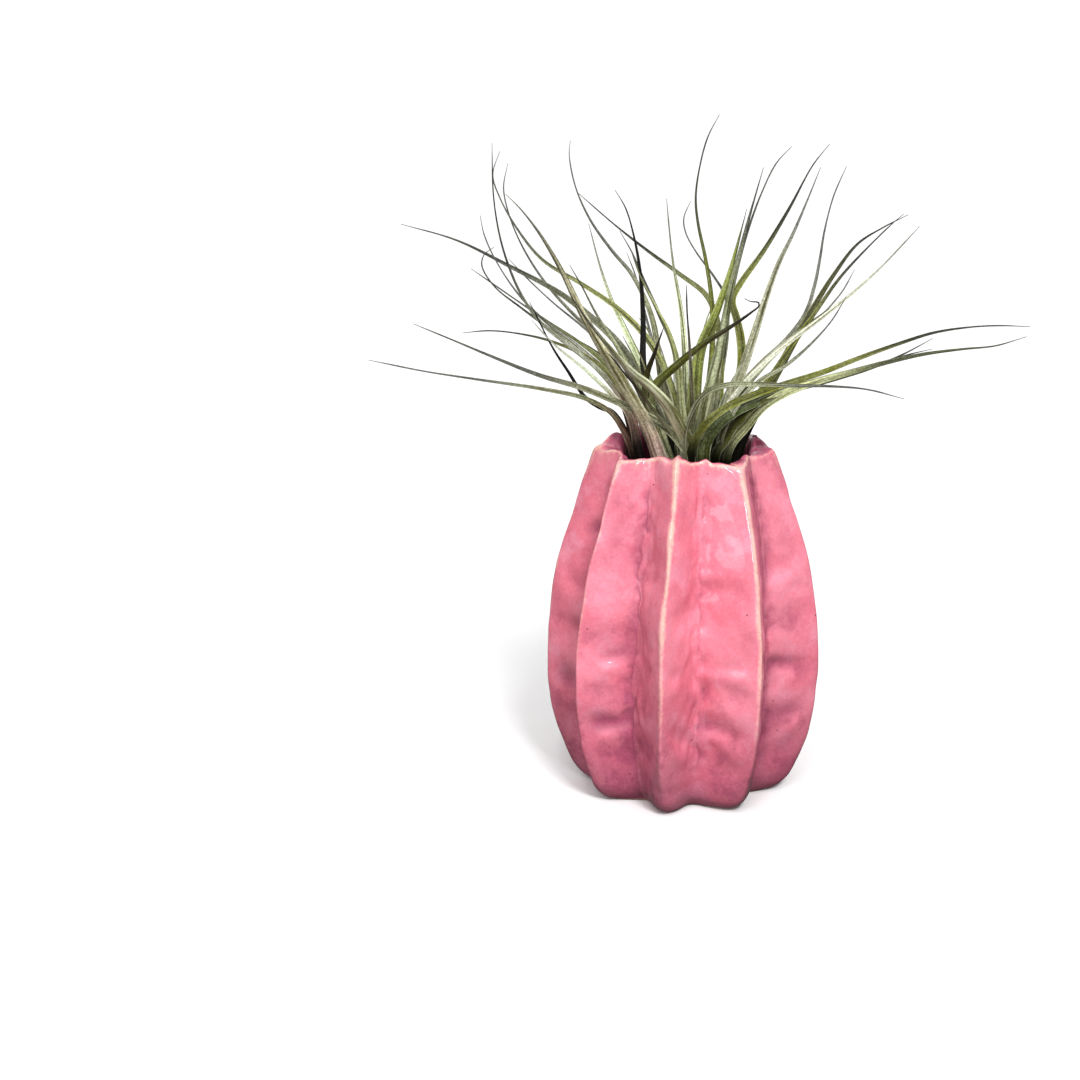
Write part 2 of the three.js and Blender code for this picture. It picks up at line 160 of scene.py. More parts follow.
# Columns around the vase, which crowd towards crests and valleys, and rows along its profile,
# which are finer within a span of the rim and wider where they are hidden inside or below
COLUMNS_PER_RIB = 56
COLUMN_CROWDING = 0.5
ROW_STEP = 0.95
FINE_ROW_SHARE = 0.4
HIDDEN_ROW_SHARE = 2.2
RIM_SPAN = 2.5
POINTS_PER_SPAN = 24

# Soft noise over the wall: the size of its cells in millimetres, counted over a way around of
# this length, and its seed. The noise that the crests wander by counts its cells in ribs around
# the wall, and in this length along it.
AROUND = 300
VALLEY_NOISE = (9, 6)
FINE_VALLEY_NOISE = (3.5, 7)
RIM_NOISE = (5, 41)
LUMP_NOISE = (11, 21)
SMALL_LUMP_NOISE = (5, 22)
WRINKLE_NOISE = (3, 23)
MARK_BEND_NOISE = (9, 31)
MARK_STRENGTH_NOISE = (6, 32)
CREST_NOISE = (0.5, 3)
CREST_WAVE = 22

# Finger marks on the facets: facet, height, rise across the facet, depth and half width
FINGER_MARKS = [
    (0, 78, -3, 0.5, 3), (0, 62, -4, 0.8, 3), (0, 46, -5, 0.9, 3), (0, 30, -4, 0.8, 3.2),
    (1, 70, 4, 0.5, 3), (1, 56, 5, 0.8, 2.6), (1, 45, 4, 1, 2.6), (1, 33, 4, 0.8, 3),
    (2, 79, -2, 0.3, 4), (2, 66, 2, 0.3, 3.5), (2, 48, -1, 0.9, 2.2), (2, 35, 1, 0.4, 3),
    (2, 26, 2, 0.8, 2.6), (2, 13, -2, 0.8, 3),
    (3, 70, 5, 0.4, 3), (3, 42, 5, 0.6, 3), (3, 20, 4, 0.6, 3),
    (4, 60, 3, 0.7, 3.4), (4, 42, -2, 1.1, 2.6), (4, 25, -7, 0.9, 3), (4, 12, -3, 0.5, 3),
    (5, 67, 2, 0.4, 3), (5, 47, -1, 0.9, 2.2), (5, 36, 2, 0.4, 3), (5, 25, -3, 0.9, 2.6),
    (5, 13, 1, 0.7, 3),
    (6, 60, 4, 0.4, 4), (6, 34, -4, 0.4, 4),
    (7, 72, 4, 0.8, 2.8), (7, 55, 4, 0.7, 3), (7, 40, 1, 1, 2.8), (7, 25, 6, 0.9, 3),
    (7, 12, 2, 0.6, 3),
]
MARKED_FACETS = 8
MARK_SPACING = 12.5
MARK_SEED = 7
SWELLING = 0.4
SWELLING_AWAY = 1.7

# Plant. A core stands against the throat of the vase. The roots of its leaves reach into it by a
# share of its radius, and stand between two shares of its half height.
CORE_RADIUS = 5
CORE_HALF_HEIGHT = 9
CORE_OFFSET = 9.5
CORE_ROWS = 26
CORE_SIDES = 72
CORE_GROOVES = 9
GROOVE_LEAN = 3
GROOVE_DEPTH = 0.14
THROAT_HEIGHT = 80
ROOT_REACH = 0.45
LOWEST_ROOT = -0.35
HIGHEST_ROOT = 0.45

# Blade. Its width falls off evenly to a thread, is a little fuller in a sheath near the root, and
# ends in a finer tip. Across, it is folded by an angle, and along it twists by up to an angle,
# both in radians.
LEAF_ROWS = 84
LEAF_SIDES = 16
FULLNESS = 1.08
SHEATH = 0.15
SHEATH_SPAN = 0.16
TIP_START = 0.92
TIP_FINENESS = 0.4
FOLD_AT_ROOT = 0.7
FOLD_AT_TIP = 1.2
LARGEST_TWIST = 0.7

# How much the upper side of a leaf faces the front and the sky, against the axis, and how far
# forward and how high a leaf ends that shows its underside instead
FACING = 1.6
FACING_UP = 1
FRONT_HEADING = -0.35
STEEP_TIP_HEIGHT = 138

# How much the tints differ from leaf to leaf, how much of its base's tint a leaf takes, over
# which share of the length a tip dries, and what the numbers of two leaves differ by
TINT_SPREAD = 0.07
BASE_TINT_SHARE = 0.85
DRYING_SPAN = 0.28
NUMBER_STEP = 3.7
GROWTH_SEED = 11

# Leaves are drawn in a front elevation that stands on the vase's axis, as an eye at this distance
# and height sees them. A point is carried along its line of sight to the depth of its leaf. The
# camera stands at the eye, and looks down and to the left by these angles.
EYE_DISTANCE = 640
EYE_HEIGHT = 245
LOOKS_DOWN = 15.07
LOOKS_LEFT = 3.73

# Azimuth and elevation of the sun, then width and height of each lamp, its azimuth, elevation and
# distance, in metres and degrees. The lamps face the middle of the vase and plant.
SUN_PLACE = (19, 43)
PANEL = (0.5, 0.45, -34, 17, 1.5)
TALL_LAMP = (0.05, 0.9, -6, 38, 1.1)
WIDE_LAMP = (0.7, 0.05, 8, 62, 1.1)
MIDDLE = np.array([0, 0, 0.08])


def leaf(tint, width, mouth_depth, tip_depth, *line, late=1, base=None):
    """A leaf: tint, width at its root, depth at the mouth of the vase and at its tip, away from
    the viewer, then its line in the elevation from the mouth to the tip. The depth goes with the
    share of the length to the power late. A base is named where it isn't its rosette's."""
    depths = (mouth_depth, tip_depth)
    return {
        "tint": tint, "width": width, "depths": depths, "line": line, "late": late, "base": base,
    }


LEFT_LEAVES = [
    leaf("sage", 2.4, 0, -12, (-16, 99), (-18.5, 105), (-22, 110), (-29, 113.8), (-40, 116.2),
         (-60, 119), (-75, 121.2), (-90.5, 124.2)),
    leaf("painted_shade_black", 3, 2, -7, (-16.6, 99.5), (-17.9, 104.8), (-21.5, 110), (-25, 111.4),
         (-29.1, 114.2), (-34, 121.7), (-38.1, 128.1), (-44.7, 141.3)),
    leaf("olive", 2.4, 3, 26, (-15.3, 100), (-17.3, 109), (-22, 120.5), (-29, 126), (-39, 130.3),
         (-48, 132.3), (-56, 133), (-63.5, 132.3)),
    leaf("moss", 2.4, 0, 0, (-14.7, 100), (-16.8, 110), (-22, 118.5), (-30, 126.2), (-38, 132.8),
         (-47, 139.5), (-54.5, 145.5), (-58, 151.3), (-57.3, 154.4), (-54.5, 156.5)),
    leaf("moss", 2.4, 1, 12, (-13.7, 100), (-16, 110.5), (-22, 122), (-30, 129.3), (-40, 136),
         (-50, 142.8), (-61, 150.4)),
    leaf("grey", 2.6, -1, -8, (-14.3, 100), (-17.6, 111.4), (-25, 121.6), (-33, 128.3),
         (-42, 135.7), (-47, 143), (-50.5, 151), (-53, 159.5), (-54.7, 171), (-55, 185.2)),
    leaf("cream", 3.4, -2, -6, (-14.5, 100), (-17, 109.5), (-21, 114.4), (-24.7, 118.1),
         (-29.2, 122.2), (-38.1, 129.6), (-44, 136)),
    leaf("young", 3.6, -1, -2, (-9.5, 102), (-11.5, 114), (-14.5, 124), (-18.5, 132)),
    leaf("young", 3.2, -2, -2.5, (-8.8, 102), (-10, 113), (-12, 122), (-14.6, 129)),
    leaf("grey", 2.2, 3, 34, (-14, 101), (-20, 118), (-30, 127.8), (-41, 136.4), (-48, 143.6),
         (-54.2, 153), (-57.3, 160), (-58.4, 165.3)),
]
FRONT_LEAVES = [
    leaf("sage", 3.7, -11.5, -34, (0.9, 96.4), (-2, 100.9), (-5.2, 104.6), (-8.9, 107.3),
         (-12.8, 109.5), (-20, 112.8), (-30, 116.8), (-42, 120.3), (-56, 125.8), (-66, 130),
         (-77.5, 134.7)),
    leaf("taupe", 5.4, -13.5, -48, (-8.3, 97.4), (-10.9, 104.5), (-14.6, 111.5), (-19.3, 119.5),
         (-24.7, 128.5), (-30, 138), (-35.5, 149.5), (-41.5, 159.8), (-47, 167),
         (-51.2, 171.2), base="taupe"),
    leaf("painted_lightest_silver", 6, -10.5, -60, (0.3, 98.6), (-2.8, 106.4), (-6.4, 112.4), (-11, 117.3),
         (-16, 121.3), (-22, 128), (-28, 135.5), (-33, 143), base="pale"),
    leaf("bark", 3.4, -9, -52, (-2.2, 98.5), (-4.4, 103.8), (-8.6, 109.2), (-12, 113.7),
         (-14.7, 117.3), (-18.1, 121.4), (-21, 125.1), (-23.2, 127.4), late=1.3),
    leaf("painted_light_silver", 3.4, -7, -36, (-6.5, 101), (-10, 110), (-14.5, 119), (-20, 128.5), (-26, 138),
         (-30, 145.7), (-33.5, 151.8)),
    leaf("bark", 3.6, -9, -60, (-8, 103), (-11.5, 112), (-11.8, 119.5), (-9.5, 127),
         (-7.1, 134.3), late=2.2),
    leaf("olive", 4, -9, -72, (-7.5, 103), (-10.5, 111.5), (-9.2, 117.5), (-3.5, 123.4),
         (4, 129.7), (12, 135), (17.6, 139.2), (19.3, 140.7), (19.2, 141.7), (17, 142),
         (15.3, 142.8), late=1.6),
    leaf("painted_shade_silver", 3.5, -13, -62, (-0.5, 99), (1.2, 109.5), (5, 115.5), (11, 118), (20, 118.4),
         (30, 118.2), (40, 118.2), (50, 117.5), (60.3, 115)),
    leaf("olive", 3.4, -14, -30, (1.5, 97.5), (4.5, 105.5), (10.5, 111.3), (19, 115.5),
         (28, 118.8), (38, 122.3), (48, 126.5), (58, 130.4), (68, 133.8), (78, 135.5), (86, 136),
         (94.2, 135.8), base="olive"),
    leaf("silver", 4.8, -10, -32, (3.3, 100), (4.9, 111), (7.3, 121.5), (9.5, 132.6), (11.3, 144.3),
         (13.7, 155.5), (16.3, 166.5), (19.6, 179)),
    leaf("silver", 2.2, -9, -66, (1.5, 104), (1, 118), (0.2, 130), (-0.6, 139), (-0.9, 146.3)),
    leaf("young_silver", 3.6, -7, -16, (-3, 101), (-4.2, 111), (-6.6, 120), (-9.6, 127)),
    leaf("young", 3.6, -6, -12, (3.5, 102), (5.4, 112), (7.4, 121), (9.3, 129)),
    leaf("spring", 3.8, -8, -22, (-1, 100), (-2, 112), (-3.2, 124), (-5.6, 132.5),
         (-9.5, 140.2), (-13.5, 148), (-16.5, 156)),
]
RIGHT_LEAVES = [
    leaf("fading", 4.4, -6, -8, (12, 99.5), (17, 106.5), (21.5, 112), (28, 116.2),
         (37, 119.6), (46, 122.3), (56, 125.3), (66, 127.7), (76, 129.2), (85, 130.3),
         (93.4, 133)),
    leaf("deep_green", 5.2, -12, 8, (5.1, 97.1), (6, 102.4), (8.8, 106.5), (12.8, 110),
         (20, 113.6), (30, 117.3), (42, 120.7), (52, 124), (60, 127.8), (67.6, 132.2)),
    leaf("dark_olive", 4, -8, -1, (8.7, 98.5), (11, 101.9), (14.2, 107.4), (21, 113.5),
         (31, 117.6), (42, 121), (53, 124.6), (61, 127.5), (67.6, 129.2)),
    leaf("painted_shade_black", 3.6, 0, 10, (15.6, 100.5), (17.6, 105.5), (20.2, 110.3), (24, 114.4),
         (30, 117.3), (37, 119)),
    leaf("silver", 3.2, -7, -12, (9.5, 101.5), (13.5, 111.5), (20, 119.3), (27.4, 124.1),
         (34, 130.2), (39.5, 136.8), (43.3, 143.5)),
    leaf("cream", 3.4, -4, 4, (8, 102), (12, 113), (16.2, 119.1), (20, 123.3), (24.1, 127.3),
         (30, 132.2), (37.2, 137.9), (43.3, 143), (51, 150.2), (57.5, 157.3), (62.7, 163.3)),
    leaf("young_silver", 3.6, -2, -3, (7, 102), (9.4, 112), (12.6, 120), (16.6, 126.5)),
    leaf("young_silver", 3.8, -4, -2, (13.6, 100.5), (14.8, 103.8), (16.2, 106.4), (18.2, 108.6)),
    leaf("young_olive", 3, 0, 4, (8, 102), (9.4, 112), (9.7, 121), (9.2, 128.7)),
    leaf("silver", 2.8, 1, 40, (11, 103), (13.5, 113.5), (20.3, 122.8), (27.3, 130.4),
         (32.2, 135), (37.6, 139.2), (39.8, 141.8), (42.5, 145.5), (45.4, 151.2), late=2),
    leaf("olive", 3.6, 0, 18, (12, 103), (18, 112.5), (24, 121.5), (29.5, 130.5), (35.5, 139.7),
         (41.5, 148.8), (49, 157.5), (55, 163.7), (58.2, 166.6)),
    leaf("dark_olive", 4.2, 3, 40, (14, 104), (20, 112.5), (25.7, 123.5), (30.9, 133.7),
         (34.9, 141.2), (40, 150), (46, 158.3), (53, 163), (59.4, 166.4)),
    leaf("grey", 2.8, 4, 52, (9.5, 104), (12.2, 114), (19.8, 123.8), (27.5, 131.7),
         (32.3, 138.9), (34.5, 146.5), (35.7, 153.5), (36.8, 162), (39, 171.5), (42.2, 179.5)),
    leaf("silver", 4.6, -1, 12, (9, 103), (12, 113), (15.5, 123), (18.5, 133), (21.5, 143.5),
         (24.5, 152.5), (28.3, 161), (32, 170.5), (35.2, 179.2)),
    leaf("olive", 4, 3, 26, (10, 102), (12.4, 112), (15, 123), (14.6, 131), (13.3, 137),
         (11.9, 142.2), (14, 146.8), (20.5, 156.5), (27, 168), (33, 179.7), (37.4, 185.5)),
]
BACK_LEAVES = [
    leaf("dark_grey", 4, 6, 42, (-6, 103), (-12, 117), (-19, 128.5), (-27, 136.5),
         (-36, 143.5), (-50, 151), (-65, 158.3), (-80.5, 162.7)),
    leaf("yellow_green", 3.2, 4, 34, (-1, 100), (-3.5, 112), (-7, 123), (-12, 131.5), (-20, 139.5),
         (-30, 146.3), (-41, 153), (-48, 161.5), (-53, 170.5), (-54.8, 176.5), (-52.8, 183)),
    leaf("grey", 2.2, 8, 58, (-9, 104), (-16, 120), (-24, 130), (-33, 138.5), (-40.5, 147),
         (-46.5, 156.5), (-50.3, 165.5), (-51.8, 173), (-50.6, 179.7)),
    leaf("grey", 2.2, 9, 66, (-12, 104), (-18, 120), (-24, 129), (-30, 134.5), (-38, 141),
         (-46, 148.5), (-50.5, 153.3)),
    leaf("sage", 3.2, 8, 50, (-5, 104), (-8, 122), (-10.5, 137), (-16, 148.8), (-22, 156),
         (-28, 164.5), (-32, 173.5), (-33.7, 182), (-33.4, 186)),
    leaf("painted_shade_black", 3.8, 3, 2, (-6, 102), (-10.5, 113), (-12.8, 123), (-13, 136), (-13.8, 149),
         (-15.5, 159), (-18, 167.5), (-21, 172.6)),
    leaf("pale", 3.8, 7, 66, (-4, 101), (-8, 112), (-13, 123.5), (-18, 134), (-21.7, 142),
         (-25, 151.5), (-28.2, 163.3)),
    leaf("grey", 4, 3, 16, (-1.5, 103), (-2.5, 118), (-4.5, 129), (-8.5, 138), (-12.5, 147),
         (-16, 155), (-19.6, 161.3)),
    leaf("young_silver", 3.6, 6, 14, (-3, 103), (-4.4, 114), (-6.4, 124), (-9, 132)),
    leaf("young", 3.6, 6, 16, (2, 103), (2.4, 114), (3.2, 124), (4.6, 131)),
    leaf("grey", 2.4, 6, 72, (-3, 103), (-5.5, 114), (-9, 126), (-12.2, 138), (-14.8, 148),
         (-17.6, 155.3)),
    leaf("pale", 3.4, 4, 30, (0, 104), (-0.7, 116), (-1.2, 128), (-2.5, 140), (-4.7, 152),
         (-6, 162.5), (-6.8, 170.3)),
    leaf("olive", 2.8, 4, 6, (4.5, 104), (6, 118), (6.8, 131), (6.2, 143), (4.3, 154), (2, 164),
         (1.3, 171), (2.4, 180), (4.4, 187.5), (7.3, 193.2)),
    leaf("sage", 2.6, 7, 46, (7, 104), (9, 120), (10.6, 134), (10, 143), (6.5, 149), (1.6, 155.6),
         (-1.4, 161), (-2, 165), (-0.2, 169.6)),
    leaf("fresh", 6.4, 2, -4, (2, 104), (2, 115), (3.6, 128.5), (8, 139.8), (11.2, 150.4),
         (14, 162), (15.3, 167.6)),
    leaf("sage", 3, 5, 40, (6, 104), (8.2, 118), (9.8, 132), (12.3, 147), (15.5, 160.5),
         (19.5, 172.5), (23.2, 180.3), (27.2, 184.8)),
    leaf("moss", 3.4, 8, 62, (6, 103), (8.6, 118), (8.4, 133), (5, 143), (-3, 149.5), (-12, 156),
         (-21, 163), (-31.2, 171.7)),
]
FAR_LEAVES = [
    leaf("young", 3, 12, 62, (-9, 102), (-16, 116), (-23, 125), (-31, 130.5), (-38, 134)),
    leaf("young", 3.2, 12, 84, (-7, 102), (-12, 115), (-17, 123), (-22, 127.5), (-26, 129)),
    leaf("young_olive", 3.8, 12, 74, (-4, 103), (-7, 117), (-9.5, 128), (-12, 134.5), (-14, 137)),
    leaf("young_silver", 4.4, 12.5, 92, (-2, 102), (-3, 116), (-4, 126), (-5, 131), (-6, 132)),
    leaf("young", 3.8, 12, 70, (1, 103), (2, 118), (3.5, 129), (5, 137), (7, 142)),
    leaf("young", 4.4, 12, 88, (3, 102), (5.5, 115), (7.6, 124), (9, 128.5), (10.5, 129.5)),
    leaf("young_silver", 4.2, 10.5, 70, (8, 102), (12.5, 113), (15.2, 122), (17, 127.5), (18, 131)),
    leaf("young", 4.4, 10.5, 80, (9, 102), (15, 112), (20, 116.5), (23.5, 118.5), (26, 119)),
    leaf("young_olive", 4, 8.5, 56, (11, 102), (18, 111), (23.4, 118.5), (27.5, 126.5),
         (30.5, 132.8)),
]

# Leaves that lean back at the far side are drawn with those of the back rosette
ROSETTES = {
    "rosette_left": {
        "bearing": 188, "leaves": LEFT_LEAVES, "slot": "leaf_taupe", "base": "brown",
    },
    "rosette_front": {
        "bearing": 275, "leaves": FRONT_LEAVES, "slot": "leaf_silver", "base": "silver",
    },
    "rosette_right": {
        "bearing": 355, "leaves": RIGHT_LEAVES, "slot": "leaf_olive", "base": "olive",
    },
    "rosette_back": {
        "bearing": 92, "leaves": BACK_LEAVES + FAR_LEAVES, "slot": "leaf_green", "base": "grey",
    },
}

# Leaf tints: colour of the blade, colour of the dry tip, share of silver scales on it, and the
# share of the length where the tip starts to dry
TINTS = {
    "silver": ("9C9E84", "505050", 0.7, 0.6),
    # A darker copy of silver: painted shade for a blade that lies in shade
    "painted_shade_silver": ("84866A", "4A4A4A", 0.55, 0.5),
    # Lighter copies of silver: painted light for front blades whose seen sides get too little light
    "painted_light_silver": ("BCBEA8", "5A5A58", 0.6, 0.65),
    "painted_lightest_silver": ("E0E2CC", "5A5A58", 0.7, 0.65),
    "sage": ("707254", "484846", 0.5, 0.45),
    "grey": ("74746A", "424244", 0.55, 0.5),
    "dark_grey": ("5A5C48", "3C3E3C", 0.35, 0.5),
    # Taupe, made lighter as painted light for the front blade that carries it
    "taupe": ("C2B9A4", "5A5854", 0.6, 0.66),
    "bark": ("504C1C", "26261A", 0.12, 0.5),
    # Near-black: painted shade for blades whose seen side lies in shade
    "painted_shade_black": ("35341C", "161514", 0.05, 0.25),
    "dark_olive": ("464812", "20201A", 0.15, 0.6),
    "deep_green": ("35400F", "34362C", 0.15, 0.66),
    "olive": ("686C28", "383834", 0.2, 0.54),
    "moss": ("5F622C", "343430", 0.3, 0.52),
    "yellow_green": ("7E8446", "484844", 0.3, 0.55),
    "fresh": ("848A48", "5A5A46", 0.3, 0.8),
    "spring": ("A8AC7C", "5A5A46", 0.4, 0.75),
    "fading": ("BABE92", "3A3C24", 0.45, 0.4),
    "pale": ("B6BC98", "5A5A56", 0.65, 0.64),
    "cream": ("C4C8B8", "7E7E78", 0.7, 0.7),
    "young": ("7E825A", "6C6E4C", 0.5, 0.9),
    "young_silver": ("9A9C8A", "848670", 0.75, 0.9),
    "young_olive": ("6E7222", "5C601E", 0.2, 0.9),
}
# Leaf bases: their tint, how far from the root it starts and ends to fade, and where the painted
# shade of the throat starts and ends to fade
BASES = {
    "brown": ("845858", 24, 46, 19, 28),
    "taupe": ("A08288", 24, 46, 12, 20),
    "silver": ("A0A28C", 28, 54, 14, 22),
    # A lighter copy of the silver base: painted light at the root of the lightest front blade
    "pale": ("CCCEB6", 28, 54, 12, 20),
    "olive": ("454522", 18, 38, 20, 30),
    "grey": ("77755F", 20, 44, 22, 36),
}
CORE_TINT = "4A3828"
# Painted shade at the roots of the leaves and on the core, deep in the throat: what the tint is
# multiplied by there
DEEPEST_PAINTED_SHADE = 0.04
# What veins, streaks and the underside multiply a leaf's tint by
VEIN_DARK = (0.55, 0.55, 0.5, 1)
VEIN_LIGHT = (1.4, 1.4, 1.4, 1)
STREAK_DARK = (0.26, 0.25, 0.13, 1)
STREAK_LIGHT = (1.5, 1.5, 1.45, 1)
UNDERSIDE_SHADE = (0.97, 1, 0.86, 1)


def linear(code):
    """Scene-linear red, green and blue of a six-digit screen colour."""
    screen = np.array([int(code[i:i + 2], 16) for i in (0, 2, 4)]) / 255
    return np.where(screen <= 0.04045, screen / 12.92, ((screen + 0.055) / 1.055) ** 2.4)


def colour(name, description, code):
    """A colour property with the given screen colour as its default."""
    return bpy.props.FloatVectorProperty(
        name=name, description=description, subtype="COLOR", size=3, min=0, max=1,
        default=tuple(linear(code)),
    )


def length(name, description, millimetres):
    """A length property in metres with its default in millimetres."""
    return bpy.props.FloatProperty(
        name=name, description=description, subtype="DISTANCE", unit="LENGTH",
        default=millimetres * MM, min=0, precision=5,
    )


def share(name, description, default):
    """A property from 0 to 1."""
    return bpy.props.FloatProperty(
        name=name, description=description, subtype="FACTOR", default=default, min=0, max=1,
    )


class VaseSettings(bpy.types.PropertyGroup):
    """Sizes and glaze colours of the vase."""

    mark_depth: bpy.props.FloatProperty(
        name="Finger marks", description="Depth of the finger marks, 1 for as made",
        default=1, min=0, max=3,
    )
    lump_height: length("Lumps", "Height of the soft lumps over the whole wall", 0.3)
    wrinkle_depth: length("Wrinkles", "Depth of the wrinkles along the valleys", 0.26)
    rim_wave: length("Rim wave", "How far the rim rises and falls", 0.5)
    crest_wander: bpy.props.FloatProperty(
        name="Crest wander", description="How far a crest wanders to either side",
        subtype="ANGLE", unit="ROTATION", default=np.radians(0.6), min=0, max=0.1,
    )
    pink: colour("Pink", "Glaze on the open facets", "F690A3")
    rosy: colour("Rosy pink", "Warmer blotches in the glaze", "EB7E92")
    lilac: colour("Lilac pink", "Cooler blotches in the glaze", "F9A4BA")
    # Mauve also darkens the wall towards the foot, and carries painted shade on the lip and facets
    mauve: colour("Mauve", "Glaze that ran together in valleys and near the foot", "A9506B")
    # Plum carries the deepest painted shade, over the rim and low on the facet painted darkest
    plum: colour("Plum", "The deepest glaze, on the rim", "6E2C42")
    cream: colour("Cream", "Thin glaze over bare edges", "FFC9B8")
    # Painted shade inside the throat, where the leaves keep the light out
    shade: colour("Shade", "Dark inside of the throat", "2A1216")
    pinhole: colour("Pinholes", "Pinholes and specks", "5A2430")
    clay: colour("Clay", "Bare clay under the foot", "C9A58C")
    glaze_roughness: share("Glaze roughness", "Roughness under the clear coat", 0.3)


class LeafSettings(bpy.types.PropertyGroup):
    """Sizes and colours that all leaves share."""

    tip_width: length("Tip width", "Width of the thread that ends in the tip", 0.42)
    thinnest: length("Thinnest", "Thickness of a leaf of no width", 0.26)
    thickening: bpy.props.FloatProperty(
        name="Thickening", description="Thickness gained for each unit of width",
        default=0.1, min=0, max=1,
    )
    scales: colour("Scales", "Silver scales on the leaves", "D3D6C6")
    # Pale scales along the edges, which also stand for a painted highlight there
    margin: colour("Margin", "Pale line along the edges of a leaf", "CFD3B2")
    # Dark green of the channel, which partly stands for painted shade in that hollow
    dark: colour("Dark", "Dark green in the channel of a leaf", "3A3C12")


class StageSettings(bpy.types.PropertyGroup):
    """Floor, light and view."""

    floor_size: length("Floor size", "Side of the square floor", 30000)
    floor_tint: colour("Floor", "Pale floor", "FCFCFC")
    key_strength: bpy.props.FloatProperty(
        name="Key light", description="Strength of the soft sun from the front",
        default=2.0, min=0, max=20,
    )
    panel_power: bpy.props.FloatProperty(
        name="Panel", description="Power of the panel at the left",
        subtype="POWER", unit="POWER", default=1.7, min=0, max=1000,
    )
    lamp_power: bpy.props.FloatProperty(
        name="Lamps", description="Power of the tall lamp, and twice that of the wide one",
        subtype="POWER", unit="POWER", default=3.4, min=0, max=1000,
    )
    lens: bpy.props.FloatProperty(
        name="Lens", description="Focal length of the camera", subtype="DISTANCE_CAMERA",
        unit="CAMERA", default=77, min=10, max=500,
    )


def eased(value, low=0.0, high=1.0):
    """Goes from 0 at low to 1 at high as 3 s squared minus 2 s cubed of the share s passed."""
    passed = np.clip((value - low) / (high - low), 0, 1)
    return passed * passed * (3 - 2 * passed)


def between(start, end, part):
    """The value at a part of the way from start to end."""
    return start + (end - start) * part


def bell(value, middle, half):
    """A bell curve, which is 1 in the middle and 1 / e at half its width from there."""
    return np.exp(-((value - middle) / half) ** 2)


def soft_noise(around, along, whole, cell, seed):
    """Random heights from -1 to 1 on a lattice of cells, blended between the four corners around
    each point by an ease. It closes on itself after the whole way around."""
    columns = max(round(whole / cell), 1)
    x = np.mod(around, whole) / whole * columns
    y = (along - along.min()) / cell
    left = np.floor(x).astype(int)
    low = np.floor(y).astype(int)
    heights = np.random.default_rng(seed).uniform(-1, 1, (columns, low.max() + 2))
    across = eased(x - left)
    first = left % columns
    second = (left + 1) % columns
    under = between(heights[first, low], heights[second, low], across)
    over = between(heights[first, low + 1], heights[second, low + 1], across)
    return between(under, over, eased(y - low))


def smooth_line(points, per_span):
    """Centripetal Catmull-Rom line through the points. Each span is the cubic that leaves a point
    along its neighbours' chord, weighed by the square roots of the distances between them."""
    ends = 2 * points[[0, -1]] - points[[1, -2]]
    whole = np.vstack([ends[:1], points, ends[1:]])
    gaps = np.linalg.norm(np.diff(whole, axis=0), axis=1)[:, None] ** 0.5
    before, start, end, after = whole[:-3], whole[1:-2], whole[2:-1], whole[3:]
    gap_in, gap, gap_out = gaps[:-2], gaps[1:-1], gaps[2:]
    leave = (start - before) / gap_in - (end - before) / (gap_in + gap) + (end - start) / gap
    arrive = (end - start) / gap - (after - start) / (gap + gap_out) + (after - end) / gap_out
    leave, arrive = leave * gap, arrive * gap
    part = np.linspace(0, 1, per_span, endpoint=False)[None, :, None]
    cubic = (2 * (start - end) + leave + arrive)[:, None]
    square = (3 * (end - start) - 2 * leave - arrive)[:, None]
    line = ((cubic * part + square) * part + leave[:, None]) * part + start[:, None]
    return np.vstack([line.reshape(-1, points.shape[1]), points[-1:]])


def lengths_passed(line):
    """Length passed at each point of a line."""
    return np.concatenate([[0], np.cumsum(np.linalg.norm(np.diff(line, axis=0), axis=1))])


def at_values(values, known, line):
    """Points of a line at some values, where known holds its value at each of its points."""
    return np.stack([np.interp(values, known, column) for column in line.T], 1)


def unit(vectors):
    """Vectors brought to length 1."""
    return vectors / np.maximum(np.linalg.norm(vectors, axis=-1, keepdims=True), 1e-9)


class Skin:
    """A closed surface: its points in millimetres, its faces, and numbers marked on its points."""

    def __init__(self, points, faces, marks):
        self.points = points
        self.faces = faces
        self.marks = marks


def skin_of_rings(rings, first_middle, last_middle, marks):
    """Joins rings of points, each closed on itself, by four-sided faces, and closes both ends with
    a fan around a middle point, which takes the marks of the ring next to it."""
    rows, around = rings.shape[:2]
    points = np.vstack([rings.reshape(-1, 3), [first_middle], [last_middle]])
    column = np.arange(around)
    beside = (column + 1) % around
    row = (np.arange(rows - 1) * around)[:, None]
    walls = np.stack(
        [row + column, row + beside, row + beside + around, row + column + around], -1
    ).reshape(-1, 4)
    first = rows * around
    top = (rows - 1) * around
    first_fan = np.stack([np.full(around, first), beside, column], -1)
    last_fan = np.stack([np.full(around, first + 1), top + column, top + beside], -1)
    flat = {name: values.reshape(rows * around, -1) for name, values in marks.items()}
    marks = {
        name: np.vstack([values, values[:1], values[top:top + 1]]) for name, values in flat.items()
    }
    return Skin(points, walls.tolist() + first_fan.tolist() + last_fan.tolist(), marks)


def joined(skins):
    """Several skins as one."""
    starts = np.cumsum([0] + [len(skin.points) for skin in skins])
    faces = [
        [corner + int(start) for corner in face]
        for skin, start in zip(skins, starts) for face in skin.faces
    ]
    marks = {
        name: np.vstack([skin.marks[name] for skin in skins]) for name in skins[0].marks
    }
    return Skin(np.vstack([skin.points for skin in skins]), faces, marks)


MARK_KINDS = {1: ("FLOAT", "value"), 3: ("FLOAT_VECTOR", "vector"), 4: ("FLOAT_COLOR", "color")}


